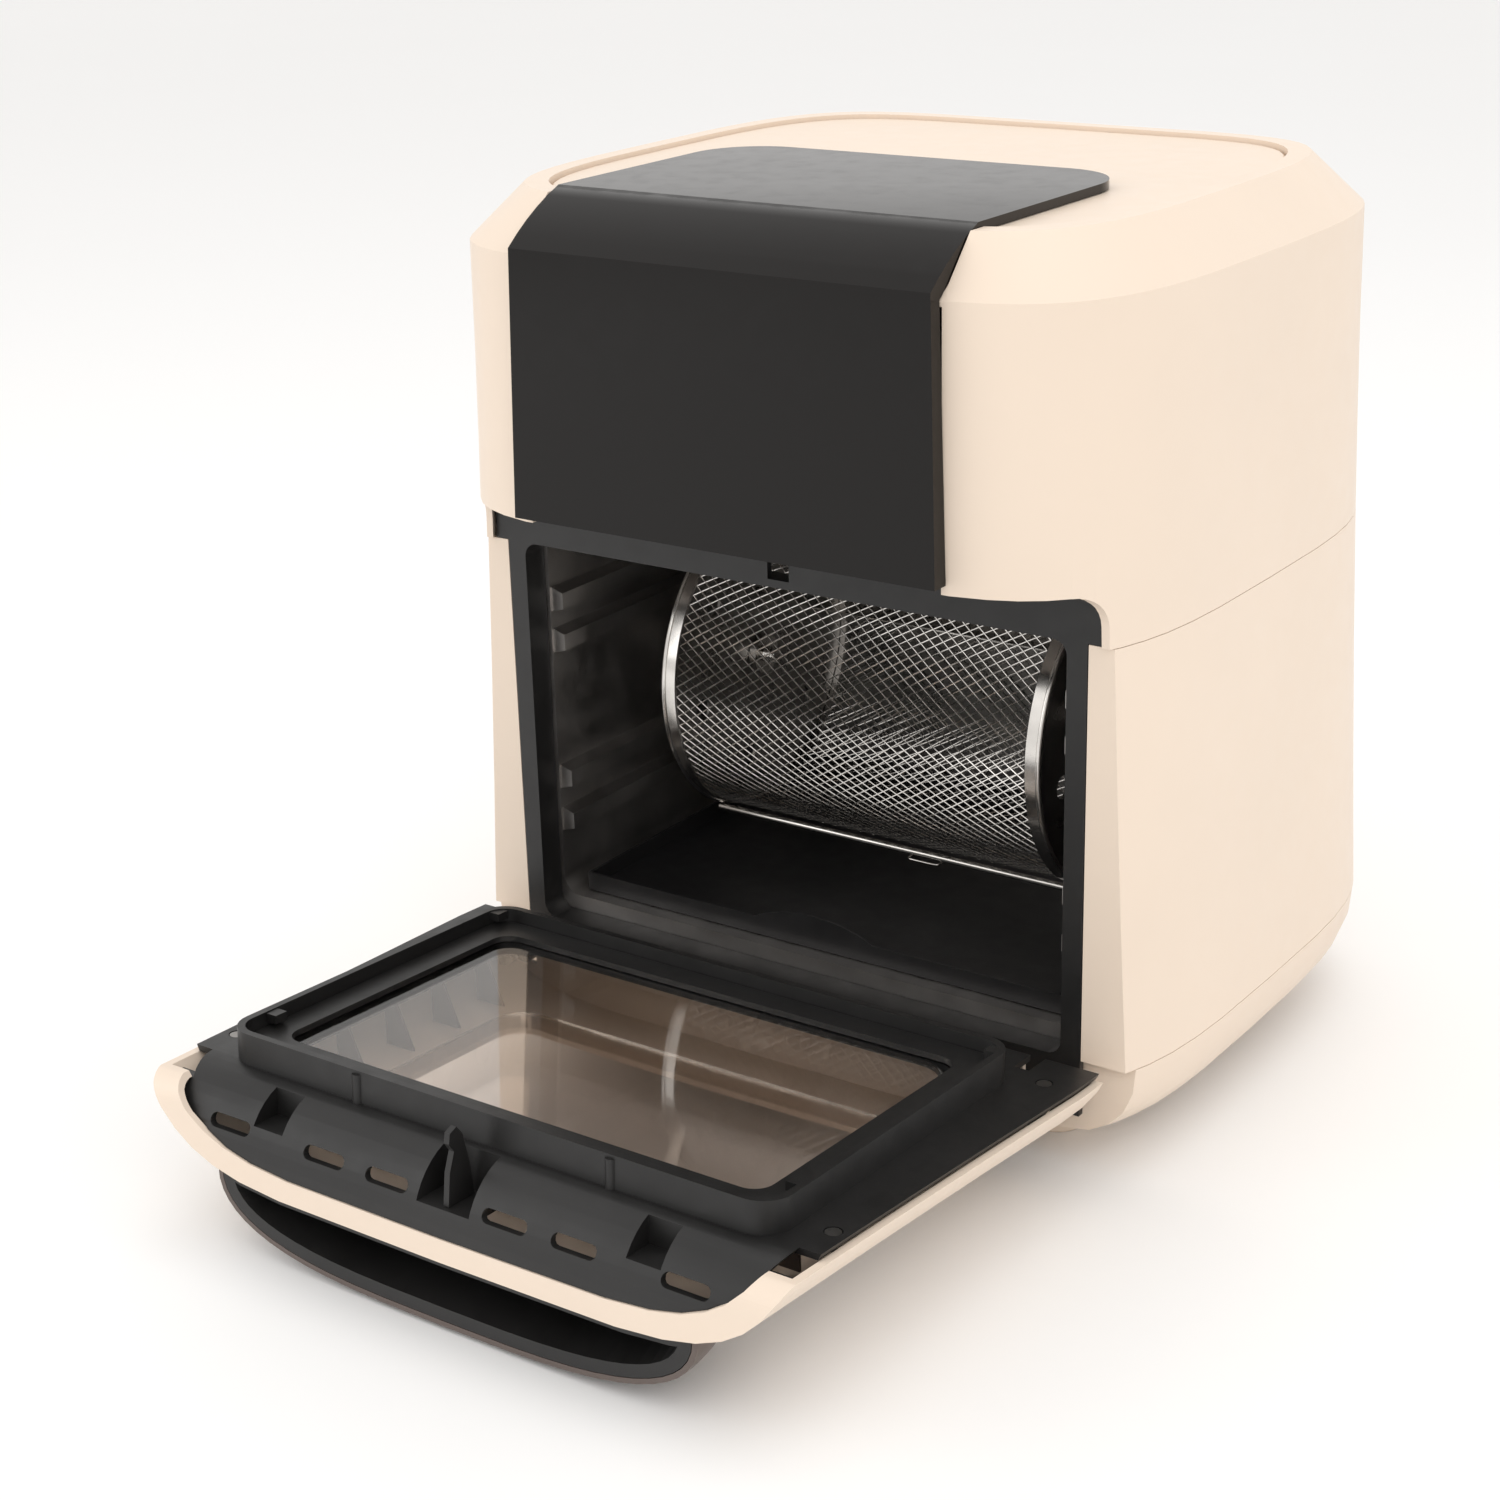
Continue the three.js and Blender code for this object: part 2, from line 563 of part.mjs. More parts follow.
function bodySolid(heights, inset = 0) {
  return loft(heights.map((z) => bodyRing(z, inset)));
}

// Heights from low to high at even steps.
function levels(low, high, steps) {
  return Array.from({ length: steps + 1 }, (_, i) => low + ((high - low) * i) / steps);
}

// ---- Body shells ----

function basePan() {
  const top = BASE_SEAM_Z - SEAM_GAP;
  const stations = BASE_STATIONS.map((share) => FOOT_HEIGHT + (BASE_SEAM_Z - FOOT_HEIGHT) * share);
  const outer = bodySolid([FOOT_HEIGHT, ...stations, top]);
  const floor = FOOT_HEIGHT + SHELL_WALL;
  const inner = bodySolid([floor, ...stations.filter((z) => z > floor + 1), BASE_SEAM_Z + 1], SHELL_WALL);
  const front = FRAME_FRONT_Y + FRAME_THICKNESS + BRACKET_FLANGE + 2 * SEAM_GAP;
  const ahead = block([-FAR, FAR], [-FAR, front], [-FAR, FAR]);
  const underReveal = OPENING_BOTTOM_Z - REVEAL_WALL - FIT_GAP;
  const wall = block([-FAR, FAR], [front, front + SHELL_WALL], [-FAR, underReveal]);
  return outer.subtract(inner).subtract(ahead).add(outer.intersect(wall));
}

function rearWindow(clearance) {
  const half = REAR_HALF_WIDTH + clearance;
  return block([-half, half], [CAVITY_BACK_Y, FAR], [REAR_BOTTOM_Z - clearance, REAR_TOP_Z + clearance]);
}

function lowerShell() {
  const outer = bodySolid(levels(BASE_SEAM_Z, SIDE_SEAM_Z, 3));
  const inner = bodySolid(levels(BASE_SEAM_Z - 1, SIDE_SEAM_Z + 1, 3), SHELL_WALL);
  const ahead = block([-FAR, FAR], [-FAR, FRAME_FRONT_Y], [-FAR, FAR]);
  const depth = [FRAME_FRONT_Y, FRAME_FRONT_Y + SHELL_WALL];
  const strip = (side) => block(spanX(side, FRAME_HALF_WIDTH + FIT_GAP, FAR), depth, [-FAR, FAR]);
  const strips = outer.intersect(strip(1).add(strip(-1)));
  return outer.subtract(inner).subtract(ahead).add(strips).subtract(rearWindow(FIT_GAP));
}

// Everything in front of and below the hood's lower edge, seen from the side, less "inset" all round.
function belowHood(inset) {
  const shape = new THREE.Shape();
  const cornerZ = HOOD_BOTTOM_Z - HOOD_CORNER_RADIUS;
  const cornerY = HOOD_CORNER_Y - HOOD_CORNER_RADIUS;
  shape.moveTo(-FAR, -FAR);
  shape.lineTo(HOOD_CORNER_Y - inset, -FAR);
  shape.lineTo(HOOD_CORNER_Y - inset, cornerZ);
  shape.absarc(cornerY, cornerZ, HOOD_CORNER_RADIUS - inset, 0, Math.PI / 2, false);
  shape.lineTo(-FAR, HOOD_BOTTOM_Z - inset);
  return prismX(shape, -FAR, FAR, 4);
}

// The panel's back line, from its bottom edge up over the crease to the flat top.
function panelBackLine(gap) {
  const back = PANEL_FRONT_Y + PANEL_FRONT_THICKNESS + gap;
  const under = PANEL_TOP_Z - PANEL_TOP_THICKNESS - gap;
  return [
    [back, PANEL_BOTTOM_Z - gap],
    [back, PANEL_CREASE_Z - PANEL_TOP_THICKNESS],
    [PANEL_TOP_Y - 1, under],
    [PANEL_BACK_Y + gap, under],
  ];
}

function panelPlan(gap) {
  const half = PANEL_HALF_TOP + gap;
  const radius = PANEL_CORNER_RADIUS + gap;
  const back = PANEL_BACK_Y + gap;
  const shape = new THREE.Shape();
  shape.moveTo(-FAR, -FAR);
  shape.lineTo(FAR, -FAR);
  shape.lineTo(FAR, PANEL_CREASE_Y + PANEL_SIDE_STEP);
  shape.lineTo(half, PANEL_CREASE_Y + PANEL_SIDE_STEP);
  shape.lineTo(half, back - radius);
  shape.absarc(half - radius, back - radius, radius, 0, Math.PI / 2, false);
  shape.lineTo(-half + radius, back);
  shape.absarc(-half + radius, back - radius, radius, Math.PI / 2, Math.PI, false);
  shape.lineTo(-half, PANEL_CREASE_Y + PANEL_SIDE_STEP);
  shape.lineTo(-FAR, PANEL_CREASE_Y + PANEL_SIDE_STEP);
  return shape;
}

function panelFrontView(gap, low, high) {
  const bottom = PANEL_HALF_BOTTOM + gap;
  const top = PANEL_HALF_TOP + gap;
  return polygon([
    [-bottom, low],
    [bottom, low],
    [bottom, PANEL_BOTTOM_Z],
    [top, PANEL_CREASE_Z],
    [top, high],
    [-top, high],
    [-top, PANEL_CREASE_Z],
    [-bottom, PANEL_BOTTOM_Z],
  ]);
}

function controlPanel() {
  const back = panelBackLine(0);
  const profile = new THREE.Shape();
  profile.moveTo(back[3][0], back[3][1]);
  profile.lineTo(PANEL_BACK_Y, PANEL_TOP_Z);
  profile.lineTo(PANEL_TOP_Y, PANEL_TOP_Z);
  profile.quadraticCurveTo(PANEL_TOP_Y - 18, PANEL_TOP_Z - 7, PANEL_CREASE_Y, PANEL_CREASE_Z);
  profile.lineTo(PANEL_FRONT_Y, PANEL_BOTTOM_Z);
  profile.lineTo(back[0][0], back[0][1]);
  profile.lineTo(back[1][0], back[1][1]);
  profile.lineTo(back[2][0], back[2][1]);
  const swept = prismX(profile, -PANEL_HALF_BOTTOM, PANEL_HALF_BOTTOM, 5);
  const frontView = prismY(panelFrontView(0, PANEL_BOTTOM_Z - 5, FAR), -FAR, FAR);
  return swept.intersect(frontView).intersect(prismZ(panelPlan(0), -FAR, FAR, 6));
}

// What the panel takes out of the hood and the lid: everything in front of and above its back line.
function panelPocket() {
  const line = panelBackLine(FIT_GAP);
  const outside = [
    [line[3][0], FAR],
    [-FAR, FAR],
    [-FAR, HOOD_BOTTOM_Z - 1],
    [line[0][0], HOOD_BOTTOM_Z - 1],
  ];
  const profile = polygon([...line, ...outside]);
  const front = prismY(panelFrontView(FIT_GAP, 0, FAR), -FAR, FAR);
  const whole = prismX(profile, -FAR, FAR).intersect(front);
  return whole.intersect(prismZ(panelPlan(FIT_GAP), -FAR, FAR, 6));
}

// The hood is open behind the panel, for the controls.
function panelWindow() {
  const half = PANEL_HALF_TOP + FIT_GAP;
  const height = [HOOD_BOTTOM_Z - 1, PANEL_CREASE_Z - PANEL_WINDOW_MARGIN];
  return block([-half, half], [-FAR, PANEL_FRONT_Y + PANEL_WINDOW_DEPTH], height);
}

function upperShell() {
  const low = SIDE_SEAM_Z + SEAM_GAP;
  const outer = bodySolid([...levels(low, CREASE_Z, 3), LIP_Z]);
  const ceiling = LID_Z - LID_THICKNESS - TOP_PLATE;
  const inner = bodySolid([...levels(SIDE_SEAM_Z - 1, CREASE_Z - 1, 3), ceiling], SHELL_WALL);
  const floor = LID_Z - LID_THICKNESS - SEAM_GAP;
  const recessRing = (z) => squareRound(LID_HALF_WIDTH + LID_GROOVE, LID_HALF_DEPTH + LID_GROOVE, z);
  const recess = loft([recessRing(floor), recessRing(LIP_Z + 2)]);
  const holeWidth = LID_HALF_WIDTH - LID_LEDGE;
  const holeDepth = LID_HALF_DEPTH - LID_LEDGE;
  const holeRing = (z) => squareRound(holeWidth, holeDepth, z);
  const hole = loft([holeRing(ceiling - 2), holeRing(floor + 2)]);
  return outer
    .subtract(inner)
    .subtract(recess)
    .subtract(hole)
    .subtract(rearWindow(FIT_GAP))
    .add(rearTab(1))
    .add(rearTab(-1))
    .subtract(belowHood(0))
    .subtract(panelPocket())
    .subtract(panelWindow());
}

// A tab inside the hood's rear wall that takes a screw of the rear cover.
function rearTab(side) {
  const x = spanX(side, REAR_SCREW_X - REAR_TAB_HALF_WIDTH, REAR_SCREW_X + REAR_TAB_HALF_WIDTH);
  const front = REAR_TAB_Y - REAR_TAB_THICKNESS;
  const top = REAR_TOP_Z + REAR_TAB_RISE;
  const plate = block(x, [front, REAR_TAB_Y], [REAR_SCREW_Z - REAR_TAB_HALF_WIDTH, top]);
  const root = block(x, [front + 1, REAR_FACE_Y - REAR_ROOT_SINK], [REAR_TOP_Z + 2, top]);
  const radius = SCREW_STEM_RADIUS + FIT_GAP;
  const hole = bar("y", radius, front - 1, REAR_TAB_Y + 1, side * REAR_SCREW_X, REAR_SCREW_Z, 10);
  return join(plate, root).subtract(hole);
}

function rearScrew(side) {
  const face = bodyDepthAt(REAR_SCREW_X - SCREW_HEAD_RADIUS, REAR_SCREW_Z, 0) + REAR_SCREW_GAP;
  const head = bar("y", SCREW_HEAD_RADIUS, face, face + 1.8, side * REAR_SCREW_X, REAR_SCREW_Z, 16);
  const tip = REAR_TAB_Y - REAR_TAB_THICKNESS - 2;
  return head.add(bar("y", SCREW_STEM_RADIUS, tip, face + 0.5, side * REAR_SCREW_X, REAR_SCREW_Z, 10));
}

function topLid() {
  const ring = (z, inset) => squareRound(LID_HALF_WIDTH - inset, LID_HALF_DEPTH - inset, z);
  const low = LID_Z - LID_THICKNESS;
  return loft([ring(low, 0), ring(LID_Z - LID_EDGE, 0), ring(LID_Z, LID_EDGE)]).subtract(panelPocket());
}

function rearCover() {
  const low = REAR_BOTTOM_Z;
  const high = REAR_TOP_Z;
  const outer = bodySolid(levels(low - 1, high + 1, 5));
  const inner = bodySolid(levels(low - 2, high + 2, 5), SHELL_WALL);
  let cover = outer.subtract(inner).intersect(rearWindow(0));
  for (let i = 0; i < REAR_VENTS; i += 1) {
    const z = high - REAR_VENT_DROP - i * REAR_VENT_PITCH;
    const across = [-REAR_VENT_HALF_WIDTH, REAR_VENT_HALF_WIDTH];
    cover = cover.subtract(block(across, [CAVITY_BACK_Y, FAR], [z, z + REAR_VENT_HEIGHT]));
  }
  for (const side of [-1, 1]) {
    const radius = SCREW_STEM_RADIUS + FIT_GAP;
    const hole = bar("y", radius, CAVITY_BACK_Y, FAR, side * REAR_SCREW_X, REAR_SCREW_Z, 10);
    cover = cover.subtract(hole);
  }
  return cover.subtract(bar("y", GLAND_RADIUS + FIT_GAP, CAVITY_BACK_Y, FAR, GLAND_X, GLAND_Z, 20));
}

function foot(x, y) {
  const radius = FOOT_RADIUS;
  const profile = [
    [0, 0],
    [radius - 2, 0],
    [radius - 1, 1],
    [radius, FOOT_HEIGHT - SEAM_GAP],
    [0, FOOT_HEIGHT - SEAM_GAP],
  ];
  const geometry = new THREE.LatheGeometry(profile.map(([r, z]) => new THREE.Vector2(r, z)), 20);
  geometry.rotateX(Math.PI / 2);
  geometry.translate(x, y, 0);
  return solidOf(geometry);
}

function cordGland() {
  const back = BODY_HALF_DEPTH + FLARE_DEPTH * flare(GLAND_Z);
  const stem = bar("y", GLAND_RADIUS, back - 12, back + 6, GLAND_X, GLAND_Z, 20);
  const flange = bar("y", GLAND_RADIUS + 3, back + SEAM_GAP, back + 2.3, GLAND_X, GLAND_Z, 20);
  const bore = bar("y", GLAND_BORE_RADIUS, back - 15, back + 8, GLAND_X, GLAND_Z, 12);
  return join(stem, flange).subtract(bore);
}

// ---- Front frame and cavity ----

// Slots round the hinge brackets, from "low" below the hinge line to "high" above it.
function hingeSlots(sideGap, y, low, high) {
  const slot = (side) => {
    const x = spanX(side, HINGE_BRACKET_X - sideGap, HINGE_BRACKET_X + HINGE_BRACKET_WIDTH + sideGap);
    return block(x, y, [HINGE_Z - low, HINGE_Z + high]);
  };
  return slot(1).add(slot(-1));
}

function frontFrame() {
  const back = FRAME_FRONT_Y + FRAME_THICKNESS;
  const depth = [FRAME_FRONT_Y, back];
  const half = FRAME_HALF_WIDTH;
  const plate = block([-half, half], depth, [FRAME_BOTTOM_Z, OPENING_TOP_Z + 2]);
  const hood = bodySolid([SIDE_SEAM_Z - 1, HOOD_BOTTOM_Z + 25], SHELL_WALL + 1);
  const ceilingTop = HOOD_BOTTOM_Z + FRAME_CEILING_LIFT;
  const header = block([-FAR, FAR], depth, [SIDE_SEAM_Z + SEAM_GAP, ceilingTop]).intersect(hood);
  const ceilingDepth = [4 - BODY_HALF_DEPTH, back];
  const ceiling = block([-FAR, FAR], ceilingDepth, [ceilingTop - FRAME_CEILING, ceilingTop]).intersect(hood);
  const hole = roundedRect(OPENING_HALF_WIDTH, OPENING_BOTTOM_Z, OPENING_TOP_Z, OPENING_CORNER);
  const tube = roundedRect(
    OPENING_HALF_WIDTH + REVEAL_WALL,
    OPENING_BOTTOM_Z - REVEAL_WALL,
    OPENING_TOP_Z + REVEAL_WALL,
    OPENING_CORNER + REVEAL_WALL,
  );
  const reveal = prismY(tube, FRAME_FRONT_Y + 1, FRAME_FRONT_Y + REVEAL_DEPTH, 3);
  const latchHeight = [OPENING_TOP_Z + REVEAL_WALL + 1, HOOD_BOTTOM_Z - 3];
  const latchSlot = block([-LATCH_SLOT_HALF, LATCH_SLOT_HALF], [-FAR, 0], latchHeight);
  const reach = HINGE_EYE_RADIUS + FIT_GAP;
  return join(plate, header, ceiling, reveal)
    .subtract(prismY(hole, -FAR, FAR, 3))
    .subtract(latchSlot)
    .subtract(hingeSlots(FIT_GAP, [-FAR, 0], reach, reach));
}

function cavityLiner() {
  const sheet = CAVITY_SHEET;
  const front = CAVITY_FRONT_Y;
  const half = CAVITY_HALF_WIDTH;
  const rect = (grow) =>
    roundedRect(half + grow, CAVITY_FLOOR_Z - grow, CAVITY_CEILING_Z + grow, CAVITY_CORNER + grow);
  const outside = prismY(rect(sheet), front, CAVITY_BACK_Y + sheet, 3);
  const inside = prismY(rect(0), front - 1, CAVITY_BACK_Y, 3);
  const flange = prismY(rect(CAVITY_FLANGE), front, front + sheet, 3);
  const heaterHole = bar("z", HEATER_HOLE_RADIUS, CAVITY_CEILING_Z - 9, CAVITY_CEILING_Z + 9, 0, HEATER_Y, 40);
  const driveHole = bar("x", SOCKET_RADIUS + 1.5, half - 4, half + 6, BASKET_Y, BASKET_Z, 20);
  const lampHole = bar("x", LAMP_RADIUS + FIT_GAP, half - 4, half + 6, LAMP_Y, LAMP_Z, 20);
  const holes = join(heaterHole, driveHole, lampHole);
  let liner = join(outside, flange).subtract(inside).subtract(holes);
  for (const lift of RUNNER_LIFTS) {
    const z = BASKET_Z + lift;
    const depth = [front + 1, front + 1 + RUNNER_LENGTH];
    const height = [z, z + RUNNER_HEIGHT];
    const shape = polygon([
      [half + sheet / 2, height[0]],
      [half + sheet / 2, height[1]],
      [half - RUNNER_DEPTH, height[1] - RUNNER_TAPER],
      [half - RUNNER_DEPTH, height[0] + RUNNER_TAPER],
    ]);
    const right = prismY(shape, depth[0], depth[1]);
    liner = join(liner, right, mirrorX(right));
  }
  return liner;
}

function dripTray() {
  const low = CAVITY_FLOOR_Z + FIT_GAP;
  const top = low + TRAY_HEIGHT;
  const half = TRAY_HALF_WIDTH;
  const wall = TRAY_WALL;
  const outer = block([-half, half], [TRAY_FRONT_Y, TRAY_BACK_Y], [low, top]);
  const inner = block(
    [-half + wall, half - wall],
    [TRAY_FRONT_Y + wall, TRAY_BACK_Y - wall],
    [low + wall, top + 1],
  );
  const humpZ = top + TRAY_HUMP_HEIGHT - TRAY_HUMP_RADIUS;
  const hump = bar("y", TRAY_HUMP_RADIUS, TRAY_FRONT_Y, TRAY_FRONT_Y + wall, 0, humpZ, 60);
  const above = block([-half, half], [-FAR, FAR], [low, FAR]);
  return outer.subtract(inner).add(hump.intersect(above));
}

// ---- Heater and fan ----

function elementGuard() {
  const top = CAVITY_CEILING_Z - SEAM_GAP;
  const z = [top - GUARD_THICKNESS, top];
  const ring = (radius, width) => {
    const outer = bar("z", radius, z[0], z[1], 0, HEATER_Y, 24);
    return outer.subtract(bar("z", radius - width, z[0] - 1, z[1] + 1, 0, HEATER_Y, 24));
  };
  const innerRings = GUARD_RINGS.map((radius) => ring(radius, 2));
  let guard = join(ring(HEATER_HOLE_RADIUS + GUARD_OVERLAP, 7), ...innerRings);
  for (let i = 0; i < 4; i += 1) {
    guard = guard.add(bladeBlock([-HEATER_HOLE_RADIUS, HEATER_HOLE_RADIUS], 1.5, z, i * 45));
  }
  return guard;
}

function heaterDome() {
  const low = CAVITY_CEILING_Z + CAVITY_SHEET + SEAM_GAP;
  const cup = bar("z", DOME_RADIUS, low, DOME_TOP_Z, 0, HEATER_Y, 40);
  const inside = bar("z", DOME_RADIUS - DOME_SHEET, low - 1, DOME_TOP_Z - DOME_SHEET, 0, HEATER_Y, 40);
  const flange = bar("z", DOME_RADIUS + DOME_FLANGE, low, low + DOME_SHEET, 0, HEATER_Y, 40);
  const shaft = bar("z", FAN_SHAFT_RADIUS + 3, DOME_TOP_Z - 5, DOME_TOP_Z + 5, 0, HEATER_Y, 16);
  let dome = join(cup, flange).subtract(inside).subtract(shaft);
  for (const degrees of COIL_LEG_DEGREES) {
    const leg = coilPoint(degrees, COIL_OUTER_RADIUS, 0);
    dome = dome.subtract(bar("z", COIL_TUBE_RADIUS + 1, DOME_TOP_Z - 12, DOME_TOP_Z + 12, leg.x, leg.y, 16));
  }
  return dome;
}

function coilPoint(degrees, radius, z) {
  const angle = THREE.MathUtils.degToRad(degrees);
  return new THREE.Vector3(radius * Math.cos(angle), HEATER_Y + radius * Math.sin(angle), z);
}

// A flat coil that goes once round, doubles back inside itself and turns up through the dome at both ends.
function coilPath() {
  const [first, last] = COIL_LEG_DEGREES;
  const top = DOME_TOP_Z + COIL_LEG_RISE;
  const back = first - 332;
  const points = [coilPoint(first, COIL_OUTER_RADIUS, top), coilPoint(first, COIL_OUTER_RADIUS, COIL_Z + 8)];
  for (let degrees = first - 8; degrees > back; degrees -= 12) {
    points.push(coilPoint(degrees, COIL_OUTER_RADIUS, COIL_Z));
  }
  points.push(coilPoint(back - 4, (COIL_OUTER_RADIUS + COIL_INNER_RADIUS) / 2, COIL_Z));
  for (let degrees = back; degrees < first + 6; degrees += 12) {
    points.push(coilPoint(degrees, COIL_INNER_RADIUS, COIL_Z));
  }
  points.push(coilPoint(last, COIL_OUTER_RADIUS - 7, COIL_Z));
  points.push(coilPoint(last, COIL_OUTER_RADIUS, COIL_Z + 8), coilPoint(last, COIL_OUTER_RADIUS, top));
  return new THREE.CatmullRomCurve3(points);
}

function heatingElement() {
  const section = new THREE.Shape();
  section.absarc(0, 0, COIL_TUBE_RADIUS, 0, 2 * Math.PI, false);
  const options = { steps: 84, bevelEnabled: false, extrudePath: coilPath(), curveSegments: 3 };
  return solidOf(new THREE.ExtrudeGeometry(section, options));
}

function fanWheel(z, { radius, hub, height }) {
  let fan = bar("z", hub, z, z + height, 0, HEATER_Y, 16);
  for (let i = 0; i < FAN_BLADES; i += 1) {
    fan = fan.add(bladeBlock([hub - 2, radius], FAN_BLADE_HALF, [z, z + height], (i * 360) / FAN_BLADES));
  }
  return fan.subtract(bar("z", FAN_SHAFT_RADIUS + SHAFT_GRIP, z - 1, z + height + 1, 0, HEATER_Y, 16));
}

function coolingFanZ() {
  return MOTOR_Z + MOTOR_HEIGHT + COOLING_FAN_LIFT;
}

function fanShaft() {
  const top = coolingFanZ() + COOLING_FAN.height + SHAFT_OVERHANG;
  return bar("z", FAN_SHAFT_RADIUS, FAN_Z - SHAFT_OVERHANG, top, 0, HEATER_Y, 16);
}

function fanMotor() {
  const low = MOTOR_Z;
  const can = bar("z", MOTOR_RADIUS, low, low + MOTOR_HEIGHT, 0, HEATER_Y, 28);
  return can.subtract(bar("z", FAN_SHAFT_RADIUS + 0.5, low - 1, low + MOTOR_HEIGHT + 1, 0, HEATER_Y, 16));
}

function motorBracket() {
  const { halfWidth, innerHalfWidth, halfDepth, thickness } = MOTOR_BRACKET;
  const low = DOME_TOP_Z + SEAM_GAP;
  const high = MOTOR_Z - SEAM_GAP;
  const outer = block([-halfWidth, halfWidth], [HEATER_Y - halfDepth, HEATER_Y + halfDepth], [low, high]);
  const inner = block([-innerHalfWidth, innerHalfWidth], [-FAR, FAR], [low - 1, high - thickness]);
  return outer.subtract(inner).subtract(bar("z", 2 * FAN_SHAFT_RADIUS, low - 1, high + 1, 0, HEATER_Y, 16));
}

// ---- Rotisserie ----

function driveMotor() {
  const { thickness, halfWidth, halfHeight } = DRIVE_PLATE;
  const start = CAVITY_HALF_WIDTH + CAVITY_SHEET + SEAM_GAP;
  const plateEnd = start + thickness;
  const y = [BASKET_Y - halfWidth, BASKET_Y + halfWidth];
  const plate = block([start, plateEnd], y, [BASKET_Z - halfHeight, BASKET_Z + halfHeight]);
  const can = bar("x", DRIVE_CAN_RADIUS, plateEnd - 1, start + DRIVE_CAN_DEPTH, BASKET_Y, BASKET_Z, 28);
  const mouth = bar("x", SOCKET_RADIUS + 1, start - 1, start + 3, BASKET_Y, BASKET_Z, 20);
  const bore = bar("x", SOCKET_SHAFT_RADIUS + DRIVE_SHAFT_CLEARANCE, start, start + 15, BASKET_Y, BASKET_Z, 16);
  return join(can, plate).subtract(mouth).subtract(bore);
}

function driveSocket() {
  const outside = CAVITY_HALF_WIDTH + CAVITY_SHEET + 1.6;
  const cup = bar("x", SOCKET_RADIUS, SOCKET_X, outside, BASKET_Y, BASKET_Z, 20);
  const shaft = bar("x", SOCKET_SHAFT_RADIUS, outside - 1, outside + 10, BASKET_Y, BASKET_Z, 16);
  const boreEnd = SOCKET_X + SOCKET_BORE_DEPTH;
  const bore = bar("x", SPIT_RADIUS + SPIT_CLEARANCE, SOCKET_X - 1, boreEnd, BASKET_Y, BASKET_Z, 16);
  return join(cup, shaft).subtract(bore);
}

function bearingBracket() {
  const wall = CAVITY_HALF_WIDTH - SEAM_GAP;
  const y = [BASKET_Y - BEARING_HALF_WIDTH, BASKET_Y + BEARING_HALF_WIDTH];
  const shelfZ = BASKET_Z - BEARING_DROP;
  const plateX = spanX(-1, BEARING_PLATE_X, BEARING_PLATE_X + BEARING_PLATE);
  const plate = block(plateX, y, [shelfZ, BASKET_Z + BEARING_HALF_WIDTH]);
  const shelf = block(spanX(-1, BEARING_PLATE_X, wall), y, [shelfZ, shelfZ + 2]);
  const flange = block(spanX(-1, wall - 1.2, wall), y, [shelfZ - 7, shelfZ + 2]);
  const reach = SPIT_RADIUS + SPIT_CLEARANCE;
  const through = [-BEARING_PLATE_X - 4, -BEARING_PLATE_X + 1];
  const seat = bar("x", reach, through[0], through[1], BASKET_Y, BASKET_Z, 20);
  const entry = block(through, [BASKET_Y - reach, BASKET_Y + reach], [BASKET_Z, BASKET_Z + 20]);
  return join(plate, shelf, flange).subtract(seat).subtract(entry);
}

function basketMesh() {
  const half = BASKET_HALF_LENGTH - BASKET_RING_WIDTH - FIT_GAP;
  const radius = BASKET_RADIUS - BASKET_MESH_INSET;
  const outer = bar("x", radius, -half, half, BASKET_Y, BASKET_Z, 40);
  const inner = radius - BASKET_MESH_THICKNESS;
  return outer.subtract(bar("x", inner, -half - 1, half + 1, BASKET_Y, BASKET_Z, 40));
}

function basketRing(side) {
  const [low, high] = spanX(side, BASKET_HALF_LENGTH - BASKET_RING_WIDTH, BASKET_HALF_LENGTH);
  const outer = bar("x", BASKET_RADIUS, low, high, BASKET_Y, BASKET_Z, 40);
  const inner = bar("x", BASKET_RADIUS - BASKET_RING_THICKNESS, low - 1, high + 1, BASKET_Y, BASKET_Z, 40);
  return outer.subtract(inner);
}

function basketEnd(side) {
  const [low, high] = spanX(side, BASKET_END_X, BASKET_END_X + BASKET_END_THICKNESS);
  const radius = BASKET_RADIUS - BASKET_RING_THICKNESS - FIT_GAP;
  let plate = bar("x", radius, low, high, BASKET_Y, BASKET_Z, 40);
  for (let i = 0; i < END_HOLES; i += 1) {
    const angle = (i * 2 * Math.PI) / END_HOLES + 0.3;
    const y = BASKET_Y + (BASKET_RADIUS - END_HOLE_SPACE) * Math.cos(angle);
    const z = BASKET_Z + (BASKET_RADIUS - END_HOLE_SPACE) * Math.sin(angle);
    plate = plate.subtract(bar("x", END_HOLE_RADIUS, low - 1, high + 1, y, z, 12));
  }
  return plate.subtract(bar("x", SPIT_RADIUS + 0.1, low - 1, high + 1, BASKET_Y, BASKET_Z, 16));
}

function basketPin(side) {
  const end = side > 0 ? SOCKET_X + SOCKET_HOLD : LEFT_PIN_END;
  const [low, high] = spanX(side, BASKET_END_X - SPIT_INSIDE, end);
  const collarEnd = BASKET_END_X - SEAM_GAP;
  const collar = spanX(side, collarEnd - COLLAR_WIDTH, collarEnd);
  const pin = bar("x", SPIT_RADIUS, low, high, BASKET_Y, BASKET_Z, 16);
  return pin.add(bar("x", COLLAR_RADIUS, collar[0], collar[1], BASKET_Y, BASKET_Z, 20));
}

function basketVane() {
  const half = BASKET_END_X - SEAM_GAP;
  const radius = BASKET_RADIUS - BASKET_RING_THICKNESS - 2 * FIT_GAP;
  const reach = BASKET_Y + Math.sqrt(radius * radius - VANE_LIFT * VANE_LIFT);
  const top = BASKET_Z + VANE_LIFT;
  return block([-half, half], [reach - VANE_WIDTH, reach], [top - VANE_THICKNESS, top]);
}

